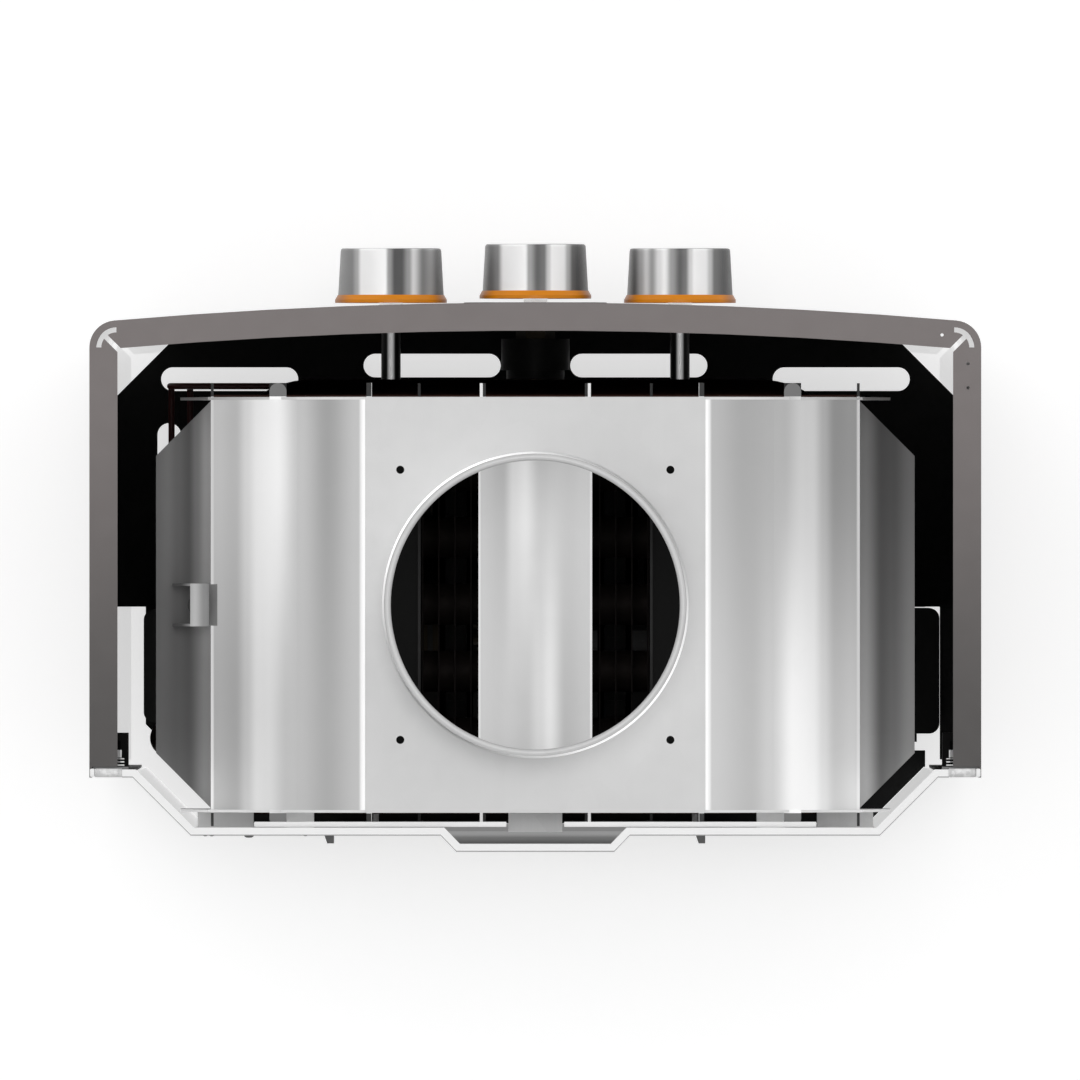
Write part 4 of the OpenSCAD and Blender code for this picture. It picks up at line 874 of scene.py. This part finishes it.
def lathe(mesh: Mesh, profile: Sequence[Span], at: Point, axis: Vector, steps: int) -> None:
    """Spins an open or closed outline of radius and height into a solid.

    Args:
        mesh: The mesh that takes the solid.
        profile: Radius and height of each point, from one end to the other.
        at: Where the height is nought.
        axis: The direction of the height.
        steps: How many sides the solid has.
    """
    place = Matrix.Translation(at) @ UP.rotation_difference(axis).to_matrix().to_4x4()
    points = [mesh.verts.new((radius, 0, height)) for radius, height in profile]
    edges = [mesh.edges.new(pair) for pair in zip(points, points[1:])]
    bmesh.ops.spin(mesh, geom=points + edges, cent=(0, 0, 0), axis=UP, dvec=(0, 0, 0), angle=FULL_TURN,
                   steps=steps, use_merge=True, use_duplicate=False)
    made = [vertex for vertex in mesh.verts if not vertex.tag]
    bmesh.ops.remove_doubles(mesh, verts=made, dist=MERGE_DISTANCE)
    made = [vertex for vertex in mesh.verts if not vertex.tag]
    bmesh.ops.transform(mesh, matrix=place, verts=made)
    for vertex in made:
        vertex.tag = True


def block(mesh: Mesh, low: Point, high: Point, bevel: float) -> None:
    """Adds a box with softened edges between two corners."""
    size = [b - a for a, b in zip(low, high)]
    centre = [(a + b) / 2 for a, b in zip(low, high)]
    place = Matrix.Translation(centre) @ Matrix.Diagonal((*size, 1))
    soften(mesh, bmesh.ops.create_cube(mesh, size=1.0, matrix=place)["verts"], bevel)


def soften(mesh: Mesh, verts: Sequence[bmesh.types.BMVert], width: float) -> None:
    """Bevels every edge between some vertices and marks what is left as done."""
    edges = list(dict.fromkeys(edge for vertex in verts for edge in vertex.link_edges))
    bmesh.ops.bevel(mesh, geom=edges, offset=width, offset_type="OFFSET", segments=2, profile=0.5,
                    affect="EDGES", clamp_overlap=True, material=-1)
    for vertex in mesh.verts:
        vertex.tag = True


def placed(name: str, data: bpy.types.ID) -> bpy.types.Object:
    """Adds an object to the scene."""
    made = bpy.data.objects.new(name, data)
    bpy.context.scene.collection.objects.link(made)
    return made


def mesh_data(name: str, mesh: Mesh) -> bpy.types.Mesh:
    """Writes a mesh to new mesh data and frees it."""
    data = bpy.data.meshes.new(name)
    mesh.to_mesh(data)
    mesh.free()
    return data


def make_piece(name: str, mesh: Mesh, finish: Look, body: str,
               replaced: Iterable[str] = ()) -> None:
    """Turns a mesh into a dressed piece that rides on a body.

    Args:
        name: The piece's name.
        mesh: Its shape, which is freed.
        finish: Its finish.
        body: The body that it rides on.
        replaced: The CAD nodes that it stands for.
    """
    bmesh.ops.recalc_face_normals(mesh, faces=mesh.faces[:])
    data = mesh_data(name, mesh)
    data.polygons.foreach_set("use_smooth", [True] * len(data.polygons))
    data.set_sharp_from_angle(angle=SHARP_ANGLE)
    data.materials.append(finish.material())
    made = placed(name, data)
    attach(made, body)
    if replaced:
        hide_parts(*replaced)
    LOG.info("%s: %d faces on %s", name, len(data.polygons), body)


def dress(finish: Look, *nodes: str) -> None:
    """Gives CAD nodes a finish."""
    for name in nodes:
        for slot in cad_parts[name].material_slots:
            slot.material = finish.material()
        LOG.info("%s dressed in %s", name, finish.name)


@dataclass(frozen=True)
class PlainAssembly:
    """An assembly whose nodes need no more than their finishes."""

    finishes: tuple[tuple[Look, str], ...]

    def build(self) -> None:
        """Dresses the nodes."""
        for finish, nodes in self.finishes:
            dress(finish, *nodes.split())


@dataclass
class Studio:
    """The camera, the pale floor, the world and the lamps."""

    lens_mm: float = 1400.0
    sensor_mm: float = 36.0
    aim: Point = (-0.00174, -0.1154, 0.045)
    view_width: float = 0.3996
    floor_z: float = -0.5035
    floor_half: float = 40.0
    floor_colour: Colour = grey(246)
    glow: float = 0.33
    glow_strength: float = 1.7
    sky: float = 0.6
    suns: tuple[tuple[str, float, float, Span], ...] = (
        ("top_sun", 0.6, 25.0, (8.0, 6.0)), ("left_sun", 0.3, 40.0, (55.0, 50.0)),
        ("right_sun", 0.2, 40.0, (55.0, -60.0)))

    def build(self) -> None:
        """Sets up the studio."""
        scene = bpy.context.scene
        scene.view_settings.view_transform = "Standard"
        self._camera()
        self._floor()
        self._world()
        self._lamps()

    def _camera(self) -> None:
        """Places the camera high above the open top, with the knobs at the picture's top."""
        data = bpy.data.cameras.new("long_lens")
        data.lens, data.sensor_width = self.lens_mm, self.sensor_mm
        data.clip_start, data.clip_end = 0.1, 200.0
        made = placed("long_lens", data)
        reach = self.view_width * self.lens_mm / self.sensor_mm
        made.location = (self.aim[0], self.aim[1], self.aim[2] + reach)
        made.rotation_euler = (0, 0, math.pi)
        bpy.context.scene.camera = made

    @staticmethod
    def _seen(shader: Shader) -> Socket:
        """1 for what the camera sees directly, in gloss or through glass."""
        path = shader.node("ShaderNodeLightPath").output.node
        rays = [Socket(shader, path.outputs[name])
                for name in ("Is Camera Ray", "Is Glossy Ray", "Is Transmission Ray")]
        return rays[0].highest(rays[1]).highest(rays[2])

    def _floor(self) -> None:
        """Makes the floor, which glows enough to look white and still takes a shadow."""
        mesh = bmesh.new()
        bmesh.ops.create_grid(mesh, x_segments=1, y_segments=1, size=self.floor_half,
                              matrix=Matrix.Translation((0, 0, self.floor_z)))
        data = mesh_data("floor", mesh)
        shader = Shader(bpy.data.materials.new("floor_white"))
        matt = shader.node("ShaderNodeBsdfDiffuse", inputs={"Color": self.floor_colour})
        glow = shader.node("ShaderNodeEmission", inputs={"Color": WHITE, "Strength": self.glow_strength})
        share = self.glow * self._seen(shader)
        mixed = shader.node("ShaderNodeMixShader", inputs={0: share, 1: matt, 2: glow})
        data.materials.append(shader.finish(mixed))
        placed("floor", data)

    def _world(self) -> None:
        """Makes the world white where it is seen and softer where it only lights."""
        shader = Shader(bpy.data.worlds.new("white_room"))
        light = shader.node("ShaderNodeBackground", inputs={
            "Color": WHITE, "Strength": self.sky + (1 - self.sky) * self._seen(shader)})
        bpy.context.scene.world = shader.finish(light)

    def _lamps(self) -> None:
        """Hangs a soft sun over the top and two weak ones at the sides, by power, width and two turns."""
        for name, power, spread, (tilt, turn) in self.suns:
            data = bpy.data.lights.new(name, "SUN")
            data.energy, data.angle = power, math.radians(spread)
            placed(name, data).rotation_euler = (math.radians(tilt), 0, math.radians(turn))


@dataclass
class Casing:
    """The painted cover, the white back panel, the black bottom plate and what holds them."""

    hem_x: Span = (0.1529, 0.1630)
    hem_y: Span = (-0.0309, -0.0276)
    hem_z: Span = (0.0430, 0.0453)
    hem_end_x: float = 0.1649
    return_x: Span = (0.0107, 0.104)
    return_y: Span = (-0.0111, -0.0092)
    return_z: Span = (0.0372, 0.0412)
    rivets: tuple[Span, ...] = (
        (0.1223, 0.0008), (0.1199, 0.0008), (0.1061, 0.0018), (0.0852, 0.0007))
    rivet_z: float = 0.022
    rivet_outline: tuple[Span, ...] = (
        (0, 0), (1, 0), (1, 0.12), (0.86, 0.34), (0.55, 0.5), (0.36, 0.52), (0.34, 0.3), (0, 0.28))
    rivet_sides: int = 28
    panel_y: float = -0.006
    hem_bevel: float = 0.0003
    cap_bevel: float = 0.0006
    return_bevel: float = 0.0002
    finishes: PlainAssembly = PlainAssembly((
        (COVER_PAINT, "front_cover"), (PANEL_WHITE, "back_panel"), (SPACER_GREY, "wall_spacers"),
        (PLATE_BLACK, "bottom_plate"), (RAIL_ZINC, "side_rails"), (CLIP_PLASTIC, "cover_clips"),
        (BLACK_PLASTIC, "sight_bezel"), (WINDOW_GLASS, "sight_window")))

    def build(self) -> None:
        """Dresses the casing's nodes and adds what is too small for them."""
        self.finishes.build()
        self._hems()
        self._return()
        self._rivets()

    def _hems(self) -> None:
        """Adds the bright hem at the end of each of the cover's side flanges, with its white cap."""
        strips, caps = bmesh.new(), bmesh.new()
        (inner, outer), (front, rear), (low, high) = self.hem_x, self.hem_y, self.hem_z
        for side in (-1, 1):
            for mesh, near, far, bevel in ((strips, inner, outer, self.hem_bevel),
                                           (caps, outer, self.hem_end_x, self.cap_bevel)):
                left, right = sorted((side * near, side * far))
                block(mesh, (left, front, low), (right, rear, high), bevel)
        make_piece("flange_hems", strips, HEM_STEEL, "heater")
        make_piece("hem_caps", caps, HEM_WHITE, "heater")

    def _return(self) -> None:
        """Adds the back panel's folded return, which shows as a second light band inside its top edge."""
        strips = bmesh.new()
        near, far = self.return_x
        for side in (-1, 1):
            left, right = sorted((side * near, side * far))
            block(strips, (left, self.return_y[0], self.return_z[0]),
                  (right, self.return_y[1], self.return_z[1]), self.return_bevel)
        make_piece("panel_return", strips, HEM_WHITE, "heater")

    def _rivets(self) -> None:
        """Adds the blind rivets' domed heads, with their mandrel holes, on the back panel's rear face."""
        heads = bmesh.new()
        for x, size in self.rivets:
            outline = [(size * radius, size * height) for radius, height in self.rivet_outline]
            lathe(heads, outline, (x, self.panel_y, self.rivet_z), TO_WALL, self.rivet_sides)
        make_piece("panel_rivets", heads, RIVET_STEEL, "heater")


@dataclass
class DraughtHood:
    """The bright sheet metal that gathers the flue gas under the collar."""

    tab_x: float = 0.09535
    baffle_tab_x: float = 0.0195
    # Painted light on the baffle's tabs and painted shade on their inner part.
    baffle_tab_light: Colour = grey(250)
    baffle_edge_shade: Colour = grey(48)
    # Painted reflections on each sheet, as X in millimetres and display grey; the collectors are painted
    # near black inside the collar, where shade falls.
    right_near: Bands = (
        (62.8, 250), (64.2, 250), (65.5, 199), (77, 166), (87.5, 201), (96, 251), (103, 250), (107, 235),
        (111, 209), (119, 228), (119.7, 250), (120.6, 255))
    right_far: Bands = (
        (62.8, 250), (64.2, 250), (65.5, 195), (77, 175), (87.5, 192), (92, 194), (99.5, 222), (103, 226),
        (107, 204), (111, 180), (119, 196), (119.7, 250), (120.6, 255))
    left_near: Bands = (
        (-62.8, 250), (-64.2, 250), (-65.5, 191), (-77, 175), (-92, 184), (-99.5, 213), (-103, 218),
        (-107, 192), (-111, 165), (-119, 178), (-119.7, 245), (-120.6, 250))
    left_far: Bands = (
        (-62.8, 250), (-64.2, 250), (-65.5, 208), (-80, 193), (-87.5, 211), (-96, 253), (-103, 252),
        (-107, 233), (-111, 213), (-119, 230), (-119.7, 245), (-120.6, 250))
    baffle_near: Bands = (
        (-21.2, 255), (-20.5, 255), (-20.1, 236), (-11, 225), (-1.7, 211), (4, 248), (8, 240), (12, 206),
        (20.1, 225), (20.5, 255), (21.2, 255))
    baffle_far: Bands = (
        (-21.2, 255), (-20.5, 255), (-20.1, 222), (-11, 204), (-5.5, 242), (-1.7, 224), (3, 204), (12, 222),
        (20.1, 231), (20.5, 255), (21.2, 255))
    bracket: Bands = (
        (110, 150), (119.2, 150), (119.8, 128), (123, 150), (126.6, 196), (132, 90), (141, 90))
    wing_right_near: Bands = (
        (42, 10), (110, 10), (119, 210), (122.5, 208), (126, 158), (129, 117), (133, 137), (137, 158),
        (140.7, 150))
    wing_right_far: Bands = (
        (42, 10), (110, 10), (119, 170), (122.5, 166), (129, 106), (133, 114), (140.7, 134))
    wing_left_near: Bands = (
        (-42, 10), (-110, 10), (-119, 170), (-122.5, 166), (-129, 106), (-133, 110), (-140.7, 150))
    wing_left_far: Bands = (
        (-42, 10), (-110, 10), (-119, 210), (-122.5, 207), (-129, 121), (-133, 136), (-140.7, 180))

    def build(self) -> None:
        """Dresses the hood's nodes."""
        dress(TOP_SHEET, "hood_top_plate")
        self._banded("hood_side_right", self.right_near, self.right_far, thrown=0.5, round_x=self.tab_x)
        self._banded("hood_side_left", self.left_near, self.left_far, thrown=0.5, round_x=self.tab_x)
        self._banded("draft_baffle", self.baffle_near, self.baffle_far, thrown=0.5,
                     tab_colour=self.baffle_tab_light, tab_edge=self.baffle_edge_shade, tab_edge_x=self.baffle_tab_x)
        self._banded("collector_right", self.wing_right_near, self.wing_right_far)
        self._banded("collector_left", self.wing_left_near, self.wing_left_far)
        dress(PLATE_ZINC, "hood_front_plate", "hood_rear_plate")
        dress(COLLAR_SHEET, "flue_collar")
        dress(ZINC, "mounting_brackets")
        dress(BandedSheet("sensor_bracket_sheet", grey(150), 0.5, 0.2, clouding=0.02, gloss=0.25,
                          bands=self.bracket, thrown=0.4, plate_reach=1.0), "spill_sensor_bracket")
        dress(BLACK_PLASTIC, "spill_sensor")

    @staticmethod
    def _banded(node: str, near: Bands, far: Bands, **own: "float | Colour") -> None:
        """Dresses one bright sheet.

        Args:
            node: The sheet's node.
            near, far: Its painted reflection bands near the front and near the wall.
            own: What else sets it apart.
        """
        dress(BandedSheet(f"{node}_sheet", grey(200), 0.45, 0.2, clouding=0.02, gloss=0.25, spangle=0.02,
                          lines=0.03, bands=near, far_bands=far, **own), node)


HEAT_EXCHANGER = PlainAssembly((
    (SHADED_COPPER, "exchanger_shell shell_coil hot_pipe"), (SHADED_TUBE_COPPER, "exchanger_tubes"),
    (SHADED_FIN_COPPER, "fin_pack"), (BLACK_PLASTIC, "overheat_thermostat")))
BURNER = PlainAssembly((
    (BURNER_STEEL, "burner_bars burner_frame gas_manifold"), (SHADED_BRASS, "gas_nozzles"),
    (CERAMIC, "electrodes")))
VALVES = PlainAssembly((
    (SHADED_ALUMINIUM, "gas_valve_body season_valve_body"),
    (SHADED_BRASS, "gland_nuts water_valve_body water_valve_cover drain_plug"),
    (BLACK_PLASTIC, "gas_solenoid microswitch"), (STEEL, "valve_screws push_rod microswitch_lever"),
    (DIAPHRAGM_RUBBER, "diaphragm")))
BATTERY_AND_IGNITER = PlainAssembly((
    (SHADED_GREY_PLASTIC, "battery_box battery_lid"), (BATTERY_FILM, "batteries"),
    (BLACK_PLASTIC, "igniter_box"), (RUBBER, "ignition_leads")))


@dataclass
class Knobs:
    """Three turned metal caps on amber rings."""

    pitch: float = 0.055
    face_y: dict[str, float] = field(default_factory=lambda: {
        "gas": -0.2262, "season": -0.2278, "water": -0.2262})
    # Painted reflections along each cap's side, from its one edge (-1) to the other (1), in display grey.
    bands: dict[str, Bands] = field(default_factory=lambda: {
        "water": ((-1, 96), (-0.89, 122), (-0.76, 180), (-0.61, 140), (-0.43, 226), (-0.34, 160), (-0.2, 86),
                  (-0.08, 82), (0.03, 152), (0.12, 253), (0.55, 253), (0.64, 182), (0.74, 142), (1, 150)),
        "season": ((-1, 125), (-0.8, 94), (-0.71, 112), (-0.62, 190), (-0.53, 253), (-0.32, 253),
                   (-0.25, 208), (-0.16, 116), (-0.04, 98), (0.12, 166), (0.2, 253), (0.6, 253),
                   (0.72, 150), (0.85, 120), (1, 158)),
        "gas": ((-1, 100), (-0.85, 90), (-0.66, 124), (-0.57, 206), (-0.48, 253), (-0.28, 253), (-0.2, 214),
                (-0.1, 116), (0, 94), (0.16, 158), (0.3, 253), (0.4, 236), (0.53, 168), (0.64, 226),
                (0.74, 188), (0.87, 104), (1, 158))})

    def build(self) -> None:
        """Dresses the knobs' nodes."""
        for index, (name, face_y) in enumerate(self.face_y.items()):
            x = (index - 1) * self.pitch
            dress(TurnedCap(f"{name}_cap_metal", grey(180), 0.38, 0.3, clouding=0.02, grain_depth=0.00001,
                            gloss=0.25, centre_x=x, face_y=face_y, bands=self.bands[name]),
                  f"{name}_knob_cap")
            dress(AMBER, f"{name}_knob_ring")
            dress(TurnedShaft(f"{name}_shaft_steel", grey(14), 0.35, 0.4, centre_x=x), f"{name}_shaft")


@dataclass
class PipeEnds:
    """The three threaded pipe ends below the casing."""

    ends: tuple[tuple[str, float, float], ...] = (
        ("hot_outlet", -0.06, 0.064), ("gas_inlet", 0.0, 0.078), ("water_inlet", 0.06, 0.078))
    y: float = -0.06
    foot_z: float = -0.503
    bore: float = 0.0065
    crest: float = 0.01048
    root: float = 0.00935
    thread_len: float = 0.014
    pitch: float = 0.001814
    sunk: float = 0.0004
    crest_share: float = 0.15
    lead_in: float = 1.5
    lead_out: float = 0.9
    early_end: float = 0.5
    turn_sides: int = 48
    body_sides: int = 64
    shoulder: float = 0.01298
    shoulder_h: float = 0.004
    neck: float = 0.00898
    nut_flats: float = 0.026
    nut_z: float = 0.048
    nut_h: float = 0.012
    edge: float = 0.0006

    def build(self) -> None:
        """Makes the three ends, each from its name, its X and the height of its neck."""
        for name, x, top in self.ends:
            mesh = bmesh.new()
            at = (x, self.y, self.foot_z)
            self._body(mesh, at, top)
            self._thread(mesh, at)
            self._nut(mesh, at)
            make_piece(f"{name}_threaded", mesh, BRASS, "heater", (f"{name}_fitting",))

    def _body(self, mesh: Mesh, at: Point, top: float) -> None:
        """Spins the bored thread core, the shoulder and the neck up to its top."""
        high = self.thread_len + self.shoulder_h
        lathe(mesh, [
            (0, self.thread_len), (self.bore, self.thread_len), (self.bore, self.edge),
            (self.bore + self.edge, 0), (self.root - self.edge, 0), (self.root, self.edge),
            (self.root, self.thread_len), (self.shoulder - self.edge, self.thread_len),
            (self.shoulder, self.thread_len + self.edge), (self.shoulder, high - self.edge),
            (self.shoulder - self.edge, high), (self.neck, high), (self.neck, top), (0, top)],
            at, UP, self.body_sides)

    def _nut(self, mesh: Mesh, at: Point) -> None:
        """Adds the hexagon on the neck."""
        radius = self.nut_flats / math.sqrt(3)
        place = Matrix.Translation(at) @ Matrix.Translation((0, 0, self.nut_z + self.nut_h / 2))
        made = bmesh.ops.create_cone(mesh, cap_ends=True, cap_tris=False, segments=6, radius1=radius,
                                     radius2=radius, depth=self.nut_h, matrix=place)["verts"]
        soften(mesh, made, self.edge)

    def _thread(self, mesh: Mesh, at: Point) -> None:
        """Winds the thread's ridge round its core, from the foot of the thread."""
        half = self.pitch / 2
        foot, flat = self.root - self.sunk, self.crest_share * half
        ridge = [(foot, half), (foot, -half), (self.crest, -flat), (self.crest, flat)]
        lead = self.lead_in * half
        turns = (self.thread_len - lead - self.lead_out * half) / self.pitch - self.early_end
        start = [mesh.verts.new((at[0] + radius, at[1], at[2] + lead + height)) for radius, height in ridge]
        face = mesh.faces.new(start)
        bmesh.ops.spin(mesh, geom=[face, *face.edges, *start], cent=at, axis=UP,
                       dvec=(0, 0, self.pitch / self.turn_sides), angle=turns * FULL_TURN,
                       steps=round(turns * self.turn_sides), use_duplicate=False)
        for vertex in mesh.verts:
            vertex.tag = True


def main() -> None:
    """Builds the studio and the assemblies."""
    logging.basicConfig(level=logging.INFO, format="%(message)s")
    for assembly in (Studio(), Casing(), DraughtHood(), HEAT_EXCHANGER, BURNER, VALVES, Knobs(),
                     BATTERY_AND_IGNITER, PipeEnds()):
        assembly.build()


if __name__ == "__main__":
    main()
